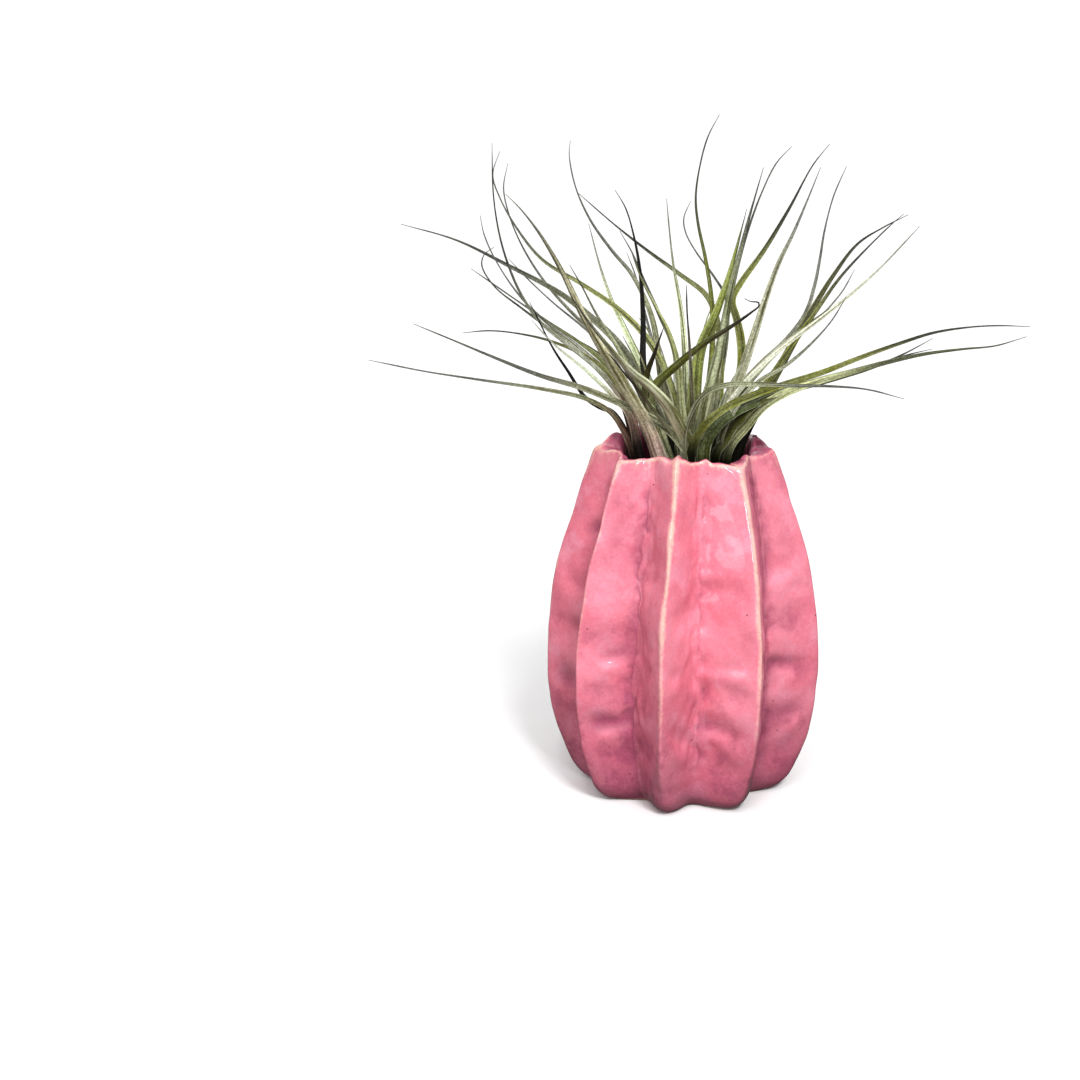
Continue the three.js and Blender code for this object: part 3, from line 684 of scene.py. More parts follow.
def add_piece(name, skin, material, node):
    """Puts a skin into the scene as a smooth mesh in place of a node of the part."""
    mesh = bpy.data.meshes.new(name)
    mesh.from_pydata((skin.points * MM).tolist(), [], skin.faces)
    for mark, values in skin.marks.items():
        kind, field = MARK_KINDS[values.shape[1]]
        attribute = mesh.attributes.new(mark, kind, "POINT")
        attribute.data.foreach_set(field, values.astype(np.float32).ravel())
    mesh.shade_smooth()
    mesh.materials.append(material)
    piece = bpy.data.objects.new(name, mesh)
    bpy.context.scene.collection.objects.link(piece)
    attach(piece, BODY)
    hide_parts(node)
    return piece


def rib_columns():
    """Places around the vase, counted in ribs and crowded towards crests and valleys by a sine,
    with the angle, rim height, reach and bareness there, straight between those of the crests."""
    even = np.arange(len(RIBS) * COLUMNS_PER_RIB) / COLUMNS_PER_RIB
    place = even - COLUMN_CROWDING * np.sin(4 * np.pi * even) / (4 * np.pi)
    crests = np.array(RIBS + [(RIBS[0][0] + 360, *RIBS[0][1:])], float)
    angle, rim, reach, bare, _ = at_values(place, np.arange(len(crests)), crests).T
    skew = crests[place.astype(int), 4] * np.sin(np.pi * place) ** 2
    return place, np.radians(angle + skew), rim, reach, bare


def profile_rows():
    """Rows of the vase's profile at even steps along a smooth line through its drawn points, with
    finer steps around the rim and wider ones inside and below, and the length passed at each row
    and where the foot, the rim edge and the rim top are."""
    drawn = np.array(UNDERSIDE + OUTSIDE + LIP + INSIDE, float)
    line = smooth_line(drawn, POINTS_PER_SPAN)
    passed = lengths_passed(line[:, :2])
    foot = passed[len(UNDERSIDE) * POINTS_PER_SPAN]
    edge = passed[(len(UNDERSIDE + OUTSIDE) + 1) * POINTS_PER_SPAN]
    top = passed[np.argmax(line[:, 0])]
    near_rim = np.exp(-((passed - top) / (2 * RIM_SPAN)) ** 4)
    hidden = eased(passed, top + 8, top + 26) + 1 - eased(passed, foot - 8, foot)
    step = ROW_STEP * between(1, FINE_ROW_SHARE, near_rim) * between(1, HIDDEN_ROW_SHARE, hidden)
    count = np.concatenate([[0], np.cumsum(np.diff(passed) / step[1:])])
    at = np.interp(np.arange(int(count[-1]) + 1), count, passed)
    return at_values(at, passed, line), at, (foot, edge, top)


def rounded(value, rounding):
    """A share from 0 to 1 whose start at 0 is rounded by a hyperbola."""
    return (np.hypot(value, rounding) - rounding) / (np.hypot(1, rounding) - rounding)


def crest_share(place, roundness):
    """1 on a crest and 0 in a valley. A sharp crest is the distance from the valley to a power,
    rounded at both ends, and a round one is a squared cosine."""
    part = np.mod(place, 1)
    steep = rounded(np.abs(1 - 2 * part), VALLEY_ROUNDING) ** CREST_SHARPNESS
    sharp = 1 - rounded(1 - steep, CREST_ROUNDING)
    return between(sharp, np.cos(np.pi * part) ** 2, roundness)


class Wall:
    """What the shape and the glaze of the vase start from: numbers for each row along its profile,
    for each column around it, or for every point of both."""

    def __init__(self):
        self.place, self.angle, self.rim, self.reach, self.bare = rib_columns()
        self.degrees = np.degrees(self.angle)
        self.facet = np.floor(2 * self.place).astype(int)
        self.from_crest = 1 - np.abs(1 - 2 * np.mod(self.place, 1))
        rows, passed, (foot, self.edge, self.top) = profile_rows()
        self.drawn_height, self.crest_radius, self.valley_radius, roundness = rows.T[:, :, None]
        self.passed = passed[:, None]
        self.on_foot = self.passed < foot
        self.outside = (self.passed > foot) & (self.passed < self.top)
        self.on_top = self.passed < self.top + RIM_SPAN
        self.on_lip = eased(self.passed, self.edge, self.edge + 3)
        above_foot = eased(self.drawn_height, *HANDS_FADE_IN)
        self.by_hand = above_foot * (1 - eased(self.drawn_height, *HANDS_FADE_OUT)) * self.outside
        self.crest = crest_share(self.place, roundness)
        self.around = np.broadcast_to(self.place, self.crest.shape)
        self.arc = self.around * AROUND / len(RIBS)
        self.along = np.broadcast_to(self.passed, self.crest.shape)

    def noise(self, kind, along):
        """Soft noise over the wall from -1 to 1, of a kind of cells."""
        return soft_noise(self.arc, along, AROUND, *kind)


def wall_height(wall, settings):
    """Heights of the wall, stretched to each rib's rim and lifted under the valleys of the foot,
    with the waves and the small rises of the rim."""
    height = wall.drawn_height
    from_foot = height / VASE_HEIGHT
    inner = eased(height, MOUTH_SHAPE_START, VASE_HEIGHT)
    stretched = np.where(wall.passed < wall.top, from_foot ** 3, inner)
    stretch = between(1, wall.rim / VASE_HEIGHT, stretched)
    lift = np.clip(height, 0, 1) * np.clip(1 - height / BOTTOM_LIFT_END, 0, 1)
    near_rim = eased(height, *RIM_FADE_IN) * (wall.passed < wall.top + 8)
    height = height * stretch + BOTTOM_LIFT * lift * wall.outside * (1 - wall.crest)
    height = height + settings.rim_wave / MM * near_rim * wall.noise(RIM_NOISE, 0 * wall.along)
    for middle, half, rise in RIM_BUMPS:
        height = height + rise * near_rim * bell(wall.degrees, middle, half)
    return height


def wall_radius(wall):
    """Radius of the wall, between the valley's and the crest's, pressed in at the dents."""
    reach = between(1, wall.reach, wall.outside * 1)
    radius = between(wall.valley_radius, wall.crest_radius, wall.crest) * reach
    for middle, half, pressed in RIM_DENTS:
        dented = bell(wall.degrees, middle, half)
        radius = radius - pressed * dented * eased(wall.drawn_height, *DENTS_FADE_IN)
    return radius


def wall_angle(wall, settings):
    """Angle of the wall around the axis. Crests and valleys wander, and turn towards the rim."""
    crests = soft_noise(wall.around, wall.along / CREST_WAVE, len(RIBS), *CREST_NOISE)
    valleys = wall.noise(VALLEY_NOISE, wall.along) + 0.6 * wall.noise(FINE_VALLEY_NOISE, wall.along)
    wander = settings.crest_wander * wall.by_hand * crests
    wander = wander + VALLEY_WANDER * valleys * wall.by_hand * (1 - wall.crest) ** 2
    turned = np.radians(RIM_TURN) * eased(wall.drawn_height, RIM_TURN_START, VASE_HEIGHT)
    return wall.angle + wander + turned


def finger_marks():
    """The marks drawn on the facets that show, and marks at seeded heights on the others."""
    rng = np.random.default_rng(MARK_SEED)
    marks = list(FINGER_MARKS)
    for facet in range(MARKED_FACETS, 2 * len(RIBS)):
        heights = np.arange(14, 84, MARK_SPACING) + rng.uniform(-3, 3, 6)
        for height in heights:
            rise = rng.uniform(-6, 6)
            depth = rng.uniform(0.4, 1)
            half = rng.uniform(2.4, 3.4)
            marks.append((facet, height, rise, depth, half))
    return marks


def finger_relief(wall, height):
    """How far the wall is pressed in: over each mark a bell curve of the distance from its slanted
    and wandering line, with a lower swelling under it. Both change in depth along the line, and
    fade out at the crest and in the valley of their facet."""
    fade = eased(wall.from_crest, 0.02, 0.4) * (1 - 0.8 * eased(wall.from_crest, 0.75, 1))
    across = np.mod(2 * wall.place, 1) - 0.5
    bent = height + 2.4 * wall.noise(MARK_BEND_NOISE, height)
    strength = np.clip(0.8 + 0.6 * wall.noise(MARK_STRENGTH_NOISE, height), 0.1, 1.4)
    relief = np.zeros_like(height)
    for facet, middle, rise, depth, half in finger_marks():
        here = wall.facet == facet
        away = (bent[:, here] - middle - rise * across[here]) / (1.15 * half)
        pressed = bell(away, 0, 1) - SWELLING * bell(away, -SWELLING_AWAY, 1)
        relief[:, here] -= depth * fade[here] * strength[:, here] * pressed
    return relief


def wall_relief(wall, height, settings):
    """How far the hands left the wall in front of its drawn shape: finger marks, soft lumps, and
    wrinkles along the valleys."""
    lumps = wall.noise(LUMP_NOISE, wall.along) + 0.5 * wall.noise(SMALL_LUMP_NOISE, wall.along)
    ridge = 1 - np.abs(wall.noise(WRINKLE_NOISE, wall.along * 0.7))
    in_valley = bell(wall.from_crest, 1, 0.24) * wall.by_hand
    relief = settings.mark_depth * finger_relief(wall, height) * wall.by_hand
    relief += settings.lump_height / MM * lumps * between(0.8, 1, wall.by_hand)
    relief -= settings.wrinkle_depth / MM * in_valley * ridge ** 3 * 2
    return relief


def bare_glaze(wall, height):
    """How bare of glaze the wall is: along the crests, more so further up, on the edge of the rim
    and just below it, and where the crests run over the lip."""
    upper = between(0.3, 1, eased(height, 8, 60))
    crest_edge = 0.9 - 0.05 * eased(height, 66, 92)
    on_crest = eased(wall.crest, crest_edge, 1) * upper * wall.outside
    on_edge = bell(wall.passed, wall.edge, 0.9)
    below_edge = 0.4 * eased(height, 89, 99) * wall.outside
    bare = np.clip(wall.bare * on_crest + 0.6 * on_edge + below_edge, 0, 1)
    crest_on_lip = 0.8 * wall.bare * eased(wall.crest, 0.93, 1) * wall.on_lip * wall.on_top
    return bare * (1 - wall.on_lip) + crest_on_lip


def painted_rim_shade(wall):
    """Painted shade around one angle of the rim, as deep glaze: wholly over its edge, faintly
    below.
    """
    over_edge = eased(wall.passed, wall.edge - 1.2, wall.edge + 0.6)
    below_edge = 0.2 * eased(wall.drawn_height, 84, 96)
    return bell(wall.degrees, *PAINTED_RIM_SHADE) * np.maximum(below_edge, over_edge) * wall.on_top


def glaze_marks(wall, height, relief):
    """What the glaze reads: how bare it is, how deep it pooled, in valleys and marks, with painted
    shade and light facet by facet and painted shade over the rim, both read as depth, and where the
    clay under the foot has none."""
    # Painted shade over the rim, which also takes the cream away there
    dark = painted_rim_shade(wall)
    bare = bare_glaze(wall, height) * (1 - dark)
    pooled = 0.5 * eased(wall.from_crest, 0.6, 1) * wall.by_hand - 0.7 * relief
    # Painted shade and light on the facets, read as glaze depth
    for facet, painted_facet_shade in FACET_LIGHT_AND_SHADE.items():
        here = (wall.facet == facet) * eased(wall.from_crest, 0.02, 0.35)
        pooled = pooled + painted_facet_shade * here * eased(height, *DEPTHS_FADE_IN) * wall.outside
    # Painted shade on the lip, for the leaves above it, and darkest around one angle of the rim
    rim_and_lip_shade = np.maximum(LIP_SHADE_DEPTH * wall.on_lip * (1 - bare), RIM_SHADE_DEPTH * dark)
    pooled = np.maximum(np.clip(pooled, THINNEST_GLAZE, 1), rim_and_lip_shade)
    clay = np.broadcast_to(wall.on_foot * 1.0, pooled.shape)
    return np.stack([bare, pooled, clay], -1)


def vase_skin(settings):
    """The vase: rows of its profile carried around the ribs, with the relief that the hands left
    added square to its surface."""
    wall = Wall()
    radius = wall_radius(wall)
    angle = wall_angle(wall, settings)
    height = wall_height(wall, settings)
    grid = np.stack([radius * np.sin(angle), -radius * np.cos(angle), height], -1)
    square = unit(np.cross(np.roll(grid, -1, 1) - np.roll(grid, 1, 1), np.gradient(grid, axis=0)))
    relief = wall_relief(wall, height, settings)
    grid += square * (relief * ~wall.on_foot)[..., None]
    under = [0, 0, wall.drawn_height[0, 0]]
    floor = [0, 0, wall.drawn_height[-1, 0]]
    return skin_of_rings(grid, under, floor, {"glaze": glaze_marks(wall, height, relief)})


def core_centre(bearing):
    """Middle of a rosette's core, which stands against the narrow throat of the vase."""
    angle = np.radians(bearing)
    return np.array([CORE_OFFSET * np.cos(angle), CORE_OFFSET * np.sin(angle), THROAT_HEIGHT])


def drawn_points(row):
    """Points of a drawn leaf, each carried along its line of sight."""
    line = np.array(row["line"], float)
    passed = lengths_passed(line)
    depth = between(*row["depths"], (passed / passed[-1]) ** row["late"])
    scale = (EYE_DISTANCE + depth) / EYE_DISTANCE
    return np.stack([line[:, 0] * scale, depth, EYE_HEIGHT + (line[:, 1] - EYE_HEIGHT) * scale], 1)


def middle_line(points, core, place, shares):
    """The line along the middle of a leaf, from its root in the core through its drawn points, the
    way that the leaf heads, and its length."""
    heading = unit((points[-1] - core) * [1, 1, 0])
    start = core + heading * CORE_RADIUS * ROOT_REACH
    start[2] += between(LOWEST_ROOT, HIGHEST_ROOT, place) * CORE_HALF_HEIGHT
    line = smooth_line(np.vstack([start, points]), 40)
    passed = lengths_passed(line)
    return at_values(shares * passed[-1], passed, line), heading, passed[-1]


def upper_sides(tangents, headings, tip_heights):
    """Directions of the upper sides: towards the axis, the front and the sky, made square to the
    tangents. A steep leaf that leans to the front shows its underside there."""
    steep = (headings[:, 1] < FRONT_HEADING) & (tip_heights > STEEP_TIP_HEIGHT)
    front = np.where(steep[:, None], [0, FACING, 0], [0, -FACING, FACING_UP])
    wanted = (front - headings)[:, None]
    return unit(wanted - (wanted * tangents).sum(-1, keepdims=True) * tangents)


def blade_sizes(widths, shares, settings):
    """Widths and thicknesses along the blades, which end in a thread with a finer tip."""
    taper = FULLNESS * (1 - shares) + SHEATH * bell(shares, 0, SHEATH_SPAN)
    fine = between(1, TIP_FINENESS, eased(shares, TIP_START, 1))
    wide = np.maximum(widths[:, None] * taper, settings.tip_width / MM) * fine
    thick = (settings.thinnest / MM + settings.thickening * wide) * fine
    return wide[..., None], thick[..., None]


def blade_rings(middles, normals, tangents, widths, twists, shares, settings):
    """Rings around the blades. Across a blade the middle of its wall follows an arc, whose half
    angle grows from the root to the tip, and the wall's faces lie on both sides of it by half the
    thickness times a sine, so that the margins are thin."""
    turn = (twists[:, None] * shares ** 2)[..., None]
    side = np.cross(tangents, normals)
    upper = normals * np.cos(turn) + side * np.sin(turn)
    side = np.cross(tangents, upper)
    wide, thick = blade_sizes(widths, shares, settings)
    fold = between(FOLD_AT_ROOT, FOLD_AT_TIP, shares)[:, None]
    around = np.arange(LEAF_SIDES) * 2 * np.pi / LEAF_SIDES
    across = np.cos(around)
    out = wide / 2 * np.sin(fold * across) / np.sin(fold)
    lift = wide / 2 * (1 - np.cos(fold * across)) / np.sin(fold) - thick / 2 * np.sin(around)
    sideways = side[:, :, None] * out[..., None]
    upwards = upper[:, :, None] * lift[..., None]
    return middles[:, :, None] + sideways + upwards, across, -np.sin(around)


def leaf_marks(row, base, shares, long, across, upper, number, rng):
    """What the leaf's finish reads: its tint, from the root's through the blade's to the dry
    tip's, its place across and along the leaf and its number, how scaly and dry it is and which
    side is up, and the painted shade of the throat towards its root."""
    blade, tip, scaly, dry_from = TINTS[row["tint"]]
    uneven = rng.uniform(-TINT_SPREAD, TINT_SPREAD, 3)
    spread = 1 + uneven / 2 + rng.uniform(-TINT_SPREAD, TINT_SPREAD)
    dry = eased(shares, dry_from, min(dry_from + DRYING_SPAN, 1))[:, None]
    root_tint, fade_from, fade_to, shade_from, shade_to = base
    along = (shares * long)[:, None]
    rooted = BASE_TINT_SHARE * (1 - eased(along, fade_from, fade_to))
    tint = between(linear(blade) * spread, linear(root_tint), rooted)
    tint = between(tint, linear(tip), dry)
    # Painted shade of the throat on the leaf's root
    light = between(DEEPEST_PAINTED_SHADE, 1, eased(along, shade_from, shade_to))
    whole = np.ones((len(shares), len(across)))
    scales = whole * scaly * (1 - rooted)
    return {
        "leaf_tint": np.stack([*(whole * tint[:, [i]] for i in range(3)), whole], -1),
        "leaf_place": np.stack([whole * across, whole * along, whole * number], -1),
        "leaf_nature": np.stack([scales, whole * dry, whole * (upper > 0)], -1),
        "leaf_painted_shade": whole * light,
    }


def core_skin(centre):
    """The short core of a rosette: an egg whose radius is pressed in between old leaf roots by a
    cosine around it."""
    rise = np.linspace(-np.pi / 2, np.pi / 2, CORE_ROWS)[1:-1, None]
    turn = np.arange(CORE_SIDES) * 2 * np.pi / CORE_SIDES
    groove = 0.5 - 0.5 * np.cos(CORE_GROOVES * turn + GROOVE_LEAN * rise)
    radius = CORE_RADIUS * np.cos(rise) * (1 - GROOVE_DEPTH * groove)
    height = CORE_HALF_HEIGHT * np.sin(rise) + 0 * turn
    rings = np.stack([radius * np.cos(turn), radius * np.sin(turn), height], -1) + centre
    whole = np.ones_like(radius)
    red, green, blue = linear(CORE_TINT)
    marks = {
        "leaf_tint": np.stack([whole * red, whole * green, whole * blue, whole], -1),
        "leaf_place": np.stack([2 * groove - 1, height, -whole], -1),
        "leaf_nature": np.stack([0 * whole, 0.5 * whole, 0 * whole], -1),
        # The core is in painted shade all over
        "leaf_painted_shade": whole * DEEPEST_PAINTED_SHADE,
    }
    below = centre - [0, 0, CORE_HALF_HEIGHT]
    above = centre + [0, 0, CORE_HALF_HEIGHT]
    return skin_of_rings(rings, below, above, marks)


def rosette_skin(name, settings):
    """A rosette: its core and its blades, whose roots stand one above the other in the core."""
    rosette = ROSETTES[name]
    rng = np.random.default_rng(GROWTH_SEED + rosette["bearing"])
    core = core_centre(rosette["bearing"])
    shares = np.linspace(0, 1, LEAF_ROWS)
    leaves = rosette["leaves"]
    places = np.linspace(0, 1, len(leaves))
    lines, headings, lengths = zip(
        *(middle_line(drawn_points(row), core, place, shares) for row, place in zip(leaves, places))
    )
    middles = np.stack(lines)
    tangents = unit(np.gradient(middles, axis=1))
    normals = upper_sides(tangents, np.stack(headings), middles[:, -1, 2])
    widths = np.array([row["width"] for row in leaves])
    twists = rng.uniform(-LARGEST_TWIST, LARGEST_TWIST, len(leaves))
    rings, across, upper = blade_rings(
        middles, normals, tangents, widths, twists, shares, settings
    )
    skins = [core_skin(core)]
    for i, row in enumerate(leaves):
        base = BASES[row["base"] or rosette["base"]]
        marks = leaf_marks(row, base, shares, lengths[i], across, upper, NUMBER_STEP * i, rng)
        skins.append(skin_of_rings(rings[i], middles[i, 0], middles[i, -1], marks))
    return joined(skins)


class Socket:
    """An output of a node. An expression on sockets and numbers adds its Math nodes."""

    def __init__(self, shader, output):
        self.shader = shader
        self.output = output

    def math(self, operation, first, second=0.0):
        return self.shader.add("ShaderNodeMath", {"operation": operation}, {0: first, 1: second})

    def __add__(self, other):
        return self.math("ADD", self, other)

    __radd__ = __add__

    def __sub__(self, other):
        return self.math("SUBTRACT", self, other)

    def __rsub__(self, other):
        return self.math("SUBTRACT", other, self)

    def __mul__(self, other):
        return self.math("MULTIPLY", self, other)

    __rmul__ = __mul__

    def __pow__(self, other):
        return self.math("POWER", self, other)

    def __abs__(self):
        return self.math("ABSOLUTE", self)


class Shader:
    """The node tree of a material or of the world."""

    def __init__(self, tree):
        self.tree = tree
        tree.nodes.clear()

    def add(self, kind, settings, inputs, output=0):
        """Adds a node, sets its settings, then its inputs, and gives one of its outputs."""
        node = self.tree.nodes.new(kind)
        for name, value in settings.items():
            setattr(node, name, value)
        for socket, value in inputs.items():
            if isinstance(value, Socket):
                self.tree.links.new(value.output, node.inputs[socket])
            else:
                node.inputs[socket].default_value = value
        return Socket(self, node.outputs[output]) if len(node.outputs) else None

    def mark(self, name, output="Vector"):
        """Numbers marked on the points of a piece."""
        return self.add("ShaderNodeAttribute", {"attribute_name": name}, {}, output)

    def split(self, vector):
        """The three numbers of a vector."""
        first = self.add("ShaderNodeSeparateXYZ", {}, {0: vector})
        return [Socket(self, output) for output in first.output.node.outputs]

    def vector(self, x, y, z):
        """A vector of three numbers."""
        return self.add("ShaderNodeCombineXYZ", {}, {0: x, 1: y, 2: z})

    def stretched(self, vector, x, y, z):
        """A vector with each of its numbers multiplied."""
        inputs = {0: vector, 1: (x, y, z)}
        return self.add("ShaderNodeVectorMath", {"operation": "MULTIPLY"}, inputs)

    def noise(self, vector, scale, detail=2.0, roughness=0.5):
        """Smooth noise from 0 to 1."""
        inputs = {"Vector": vector, "Scale": scale, "Detail": detail, "Roughness": roughness}
        return self.add("ShaderNodeTexNoise", {}, inputs)

    def cells(self, vector, scale):
        """Distance to the nearest of scattered points."""
        return self.add("ShaderNodeTexVoronoi", {}, {"Vector": vector, "Scale": scale})

    def ease(self, value, low, high):
        """Goes smoothly from 0 to 1 as the value goes from low to high."""
        inputs = {"Value": value, "From Min": low, "From Max": high}
        return self.add("ShaderNodeMapRange", {"interpolation_type": "SMOOTHSTEP"}, inputs)

    def mix(self, factor, first, second, blend="MIX"):
        """A colour between two colours."""
        settings = {"data_type": "RGBA", "blend_type": blend}
        return self.add("ShaderNodeMix", settings, {0: factor, 6: first, 7: second}, 2)

    def bump(self, height, strength, distance):
        """A normal that is tilted as a relief of that height would."""
        inputs = {"Strength": strength, "Distance": distance, "Height": height}
        return self.add("ShaderNodeBump", {}, inputs)

    def place(self):
        """Place in the piece's own frame, in metres."""
        return self.add("ShaderNodeTexCoord", {}, {}, "Object")

    def surface(self, inputs):
        """A Principled surface that goes to the output."""
        shader = self.add("ShaderNodeBsdfPrincipled", {}, inputs)
        self.add("ShaderNodeOutputMaterial", {}, {"Surface": shader})


def rgba(tint):
    """A colour property as a socket's four numbers."""
    return (*tint, 1)


def new_material(name):
    """An empty material and its shader."""
    material = bpy.data.materials.new(name)
    material.use_nodes = True
    return material, Shader(material.node_tree)


def pink_tint(shader, settings, place, height, pooled):
    """Blotches between two pinks and a lilac, which go to mauve and then to plum with the depth of
    the glaze, which also carries the painted shade of the rim and the facets. It goes darker
    towards the foot, and takes more mauve in patches."""
    blotches = shader.noise(place, 48, 3, 0.55)
    patches = shader.noise(place, 120, 4, 0.6)
    tint = shader.mix(shader.ease(blotches, 0.4, 0.6), rgba(settings.pink), rgba(settings.rosy))
    tint = shader.mix(shader.ease(patches, 0.5, 0.68) * 0.5, tint, rgba(settings.lilac))
    # Darker towards the foot
    low = 1 - shader.ease(height, 0, 0.05)
    depth = pooled * 0.8 + low * 0.65 + shader.ease(patches, 0.5, 0.34) * 0.3
    tint = shader.mix(shader.ease(depth, 0, 1.25), tint, rgba(settings.mauve))
    return shader.mix(shader.ease(depth, 1.1, 1.9) * 0.8, tint, rgba(settings.plum))


def glaze_finish(settings):
    """Glossy glaze: pink tints by its depth, which is greatest in valleys and in marks, with
    painted shade on the rim and on some facets and painted light on others, all read as depth,
    cream where it ran thin over edges, painted shade in the throat, pinholes, a fine grain, and
    bare clay below."""
    material, shader = new_material("pink_glaze")
    place = shader.place()
    x, y, height = shader.split(place)
    bare, pooled, clay = shader.split(shader.mark("glaze"))
    grain = shader.noise(place, 1100, 2)
    tint = pink_tint(shader, settings, place, height, pooled)
    run = shader.noise(shader.stretched(place, 1, 1, 0.25), 420, 3, 0.6)
    broken = shader.noise(place, 900, 3, 0.7)
    thin = shader.ease(bare + run * 1.3 + broken * 1.1, 1.5, 2.5)
    tint = shader.mix(thin * 0.9, tint, rgba(settings.cream))
    # Painted shade in the throat
    from_axis = (x * x + y * y) ** 0.5
    throat = 1 - shader.ease(from_axis, 0.0165, 0.019)
    tint = shader.mix(throat * 0.9, tint, rgba(settings.shade))
    speckled = shader.ease(shader.noise(place, 70, 1), 0.56, 0.6)
    holes = speckled * (1 - shader.ease(shader.cells(place, 230), 0.03, 0.075))
    tint = shader.mix(holes * 0.8, tint, rgba(settings.pinhole))
    tint = shader.mix(0.24, tint, grain, "OVERLAY")
    tint = shader.mix(clay, tint, rgba(settings.clay))
    wrinkles = shader.noise(shader.stretched(place, 1, 1, 0.5), 600, 4, 0.65)
    peel = shader.noise(place, 330, 2, 0.4)
    relief = peel * 0.7 + wrinkles * pooled * 0.6 - holes * 1.2 + clay * grain * 0.5
    shader.surface({
        "Base Color": tint,
        "Roughness": settings.glaze_roughness + grain * 0.12 + clay * 0.4,
        "Specular IOR Level": 0,
        "Coat Weight": 1 - clay,
        "Coat Roughness": 0.08,
        "Normal": shader.bump(relief, 0.5, 0.0004),
    })
    return material


def leaf_finish(name, settings):
    """A dull, scaly leaf: its tint in long streaks, a darker green in the channel that is partly
    painted shade, fine veins and grain, pale edges that are partly a painted highlight, silver
    scales that thin out on the dry tip, and painted shade towards the root."""
    material, shader = new_material(name)
    place = shader.place()
    across, along, number = shader.split(shader.mark("leaf_place"))
    scaly, dry, upper = shader.split(shader.mark("leaf_nature"))
    tint = shader.mark("leaf_tint", "Color")
    streaks = shader.noise(shader.vector(across * 2, along * 0.04, number), 1, 3, 0.6)
    veins = shader.noise(shader.vector(across * 7, along * 0.04, number + 50), 1, 2)
    blotches = shader.noise(place, 260, 3, 0.6)
    veined = shader.mix(shader.ease(veins, 0.35, 0.65), VEIN_DARK, VEIN_LIGHT)
    tint = shader.mix(0.55, tint, veined, "MULTIPLY")
    tint = shader.mix(1 - upper, tint, UNDERSIDE_SHADE, "MULTIPLY")
    # Darker green in the channel, partly painted shade in the hollow
    channel = (1 - shader.ease(abs(across), 0, 0.5)) * upper * (1 - dry)
    tint = shader.mix(channel * 0.4, tint, rgba(settings.dark))
    specks = shader.noise(shader.vector(across * 8, along * 1.5, number + 90), 1, 2, 0.6)
    flecks = shader.ease(specks, 0.46, 0.58)
    coat = flecks * scaly * (1 - dry * 0.6) * shader.ease(blotches, 0.3, 0.6)
    tint = shader.mix(coat * 0.7, tint, rgba(settings.scales))
    grain = shader.ease(shader.noise(place, 1500, 2, 0.7), 0.3, 0.7)
    tint = shader.mix(0.32, tint, grain, "OVERLAY")
    streaked = shader.mix(shader.ease(streaks, 0.32, 0.62), STREAK_DARK, STREAK_LIGHT)
    tint = shader.mix(1, tint, streaked, "MULTIPLY")
    # Pale edges, partly a painted highlight along them
    margin = shader.ease(abs(across), 0.84, 0.96) * (1 - dry) * shader.ease(blotches, 0.3, 0.7)
    tint = shader.mix(margin * 0.7, tint, rgba(settings.margin))
    # Painted shade of the throat towards the root
    tint = shader.mix(1, tint, shader.mark("leaf_painted_shade", "Fac"), "MULTIPLY")
    shader.surface({
        "Base Color": tint,
        "Roughness": 0.5 + coat * 0.25,
        "Specular IOR Level": 0.2,
        "Normal": shader.bump(veins + flecks * 0.4, 0.5, 0.00012),
    })
    return material


def aim(thing, azimuth, elevation, distance, target):
    """Puts a light where it looks at a target from an azimuth, which is 0 in front and grows to
    the right, and an elevation, in degrees."""
    turn, rise = np.radians([azimuth, elevation])
    away = np.array([np.sin(turn) * np.cos(rise), -np.cos(turn) * np.cos(rise), np.sin(rise)])
    thing.location = target + away * distance
    thing.rotation_euler = (np.pi / 2 - rise, 0, turn)
    bpy.context.scene.collection.objects.link(thing)


def add_floor(settings):
    """A plain square floor that the vase stands on."""
    half = settings.floor_size / 2
    mesh = bpy.data.meshes.new("floor")
    points = [(-half, -half, 0), (half, -half, 0), (half, half, 0), (-half, half, 0)]
    mesh.from_pydata(points, [], [(0, 1, 2, 3)])
    material, shader = new_material("floor_paint")
    shader.surface({"Base Color": rgba(settings.floor_tint), "Roughness": 0.9})
    mesh.materials.append(material)
    floor = bpy.data.objects.new("floor", mesh)
    bpy.context.scene.collection.objects.link(floor)
    floor.visible_diffuse = False
    floor.visible_glossy = False


def add_sky():
    """A white room around the stage, dimmer at its left and right, dark under the floor."""
    world = bpy.data.worlds.new("studio")
    bpy.context.scene.world = world
    world.use_nodes = True
    shader = Shader(world.node_tree)
    direction = shader.add("ShaderNodeTexCoord", {}, {}, "Generated")
    x, _, z = shader.split(direction)
    sides = shader.ease(abs(x), 0.3, 0.9)
    light = 0.1 + shader.ease(z, -0.12, 0.06) * (0.75 - sides * 0.63)
    sky = shader.add("ShaderNodeBackground", {}, {"Color": (1, 1, 1, 1), "Strength": light})
    shader.add("ShaderNodeOutputWorld", {}, {"Surface": sky})


def add_lamp(name, power, width, height, azimuth, elevation, distance):
    """A flat lamp that faces the middle of the vase and plant."""
    lamp = bpy.data.lights.new(name, "AREA")
    lamp.energy = power
    lamp.shape = "RECTANGLE"
    lamp.size = width
    lamp.size_y = height
    aim(bpy.data.objects.new(name, lamp), azimuth, elevation, distance, MIDDLE)


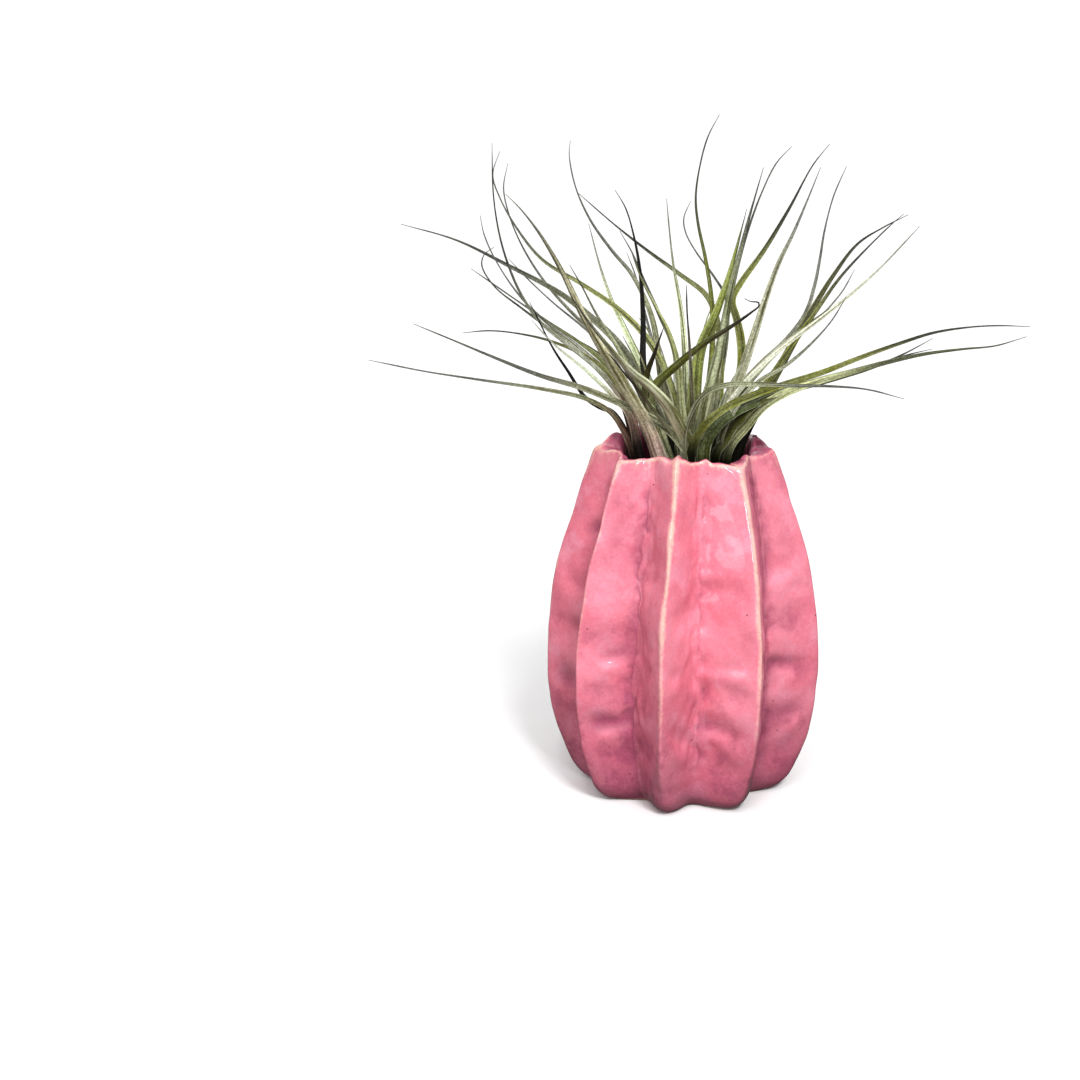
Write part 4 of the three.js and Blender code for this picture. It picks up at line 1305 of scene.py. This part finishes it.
def add_lights(settings):
    """A soft sun from the front, a panel at the left for the sheen on the glaze, and a tall and a
    wide lamp in front, both narrow, for the glints on its edges and on its rim."""
    sun = bpy.data.lights.new("key", "SUN")
    sun.energy = settings.key_strength
    sun.angle = np.radians(12)
    aim(bpy.data.objects.new("key", sun), *SUN_PLACE, 2, np.zeros(3))
    add_lamp("panel", settings.panel_power, *PANEL)
    add_lamp("tall_lamp", settings.lamp_power, *TALL_LAMP)
    add_lamp("wide_lamp", settings.lamp_power / 2, *WIDE_LAMP)


def add_camera(settings):
    """The camera of the view that the leaves are drawn for."""
    camera = bpy.data.cameras.new("camera")
    camera.lens = settings.lens
    holder = bpy.data.objects.new("camera", camera)
    holder.location = (0, -EYE_DISTANCE * MM, EYE_HEIGHT * MM)
    holder.rotation_euler = np.radians([90 - LOOKS_DOWN, 0, LOOKS_LEFT])
    bpy.context.scene.collection.objects.link(holder)
    bpy.context.scene.camera = holder


class AIRPLANT_OT_make_vase(bpy.types.Operator):
    """Make the glazed, ribbed vase"""

    bl_idname = "airplant.make_vase"
    bl_label = "Make vase"

    def execute(self, context):
        settings = context.scene.airplant_vase
        add_piece("ribbed_vase", vase_skin(settings), glaze_finish(settings), "vase")
        return {"FINISHED"}


class AIRPLANT_OT_grow_rosettes(bpy.types.Operator):
    """Grow the four rosettes of the air plant"""

    bl_idname = "airplant.grow_rosettes"
    bl_label = "Grow rosettes"

    def execute(self, context):
        settings = context.scene.airplant_leaves
        for node, rosette in ROSETTES.items():
            skin = rosette_skin(node, settings)
            finish = leaf_finish(rosette["slot"], settings)
            add_piece(node + "_leaves", skin, finish, node)
        return {"FINISHED"}


class AIRPLANT_OT_set_stage(bpy.types.Operator):
    """Set up the floor, the light and the camera"""

    bl_idname = "airplant.set_stage"
    bl_label = "Set stage"

    def execute(self, context):
        settings = context.scene.airplant_stage
        add_floor(settings)
        add_sky()
        add_lights(settings)
        add_camera(settings)
        context.scene.view_settings.view_transform = "Standard"
        return {"FINISHED"}


class AIRPLANT_PT_tools(bpy.types.Panel):
    """Lists what this add-on makes and its settings."""

    bl_label = "Air plant"
    bl_space_type = "VIEW_3D"
    bl_region_type = "UI"
    bl_category = "Air plant"

    def draw(self, context):
        steps = (
            ("airplant.set_stage", context.scene.airplant_stage),
            ("airplant.make_vase", context.scene.airplant_vase),
            ("airplant.grow_rosettes", context.scene.airplant_leaves),
        )
        for operator, settings in steps:
            self.layout.operator(operator)
            for name in settings.__annotations__:
                self.layout.prop(settings, name)


CLASSES = (
    VaseSettings, LeafSettings, StageSettings, AIRPLANT_OT_make_vase, AIRPLANT_OT_grow_rosettes,
    AIRPLANT_OT_set_stage, AIRPLANT_PT_tools,
)


def register():
    for kind in CLASSES:
        bpy.utils.register_class(kind)
    bpy.types.Scene.airplant_vase = bpy.props.PointerProperty(type=VaseSettings)
    bpy.types.Scene.airplant_leaves = bpy.props.PointerProperty(type=LeafSettings)
    bpy.types.Scene.airplant_stage = bpy.props.PointerProperty(type=StageSettings)


def unregister():
    del bpy.types.Scene.airplant_stage
    del bpy.types.Scene.airplant_leaves
    del bpy.types.Scene.airplant_vase
    for kind in reversed(CLASSES):
        bpy.utils.unregister_class(kind)


def main():
    """Dresses the part."""
    register()
    bpy.ops.airplant.set_stage()
    bpy.ops.airplant.make_vase()
    bpy.ops.airplant.grow_rosettes()


if __name__ == "__main__":
    main()
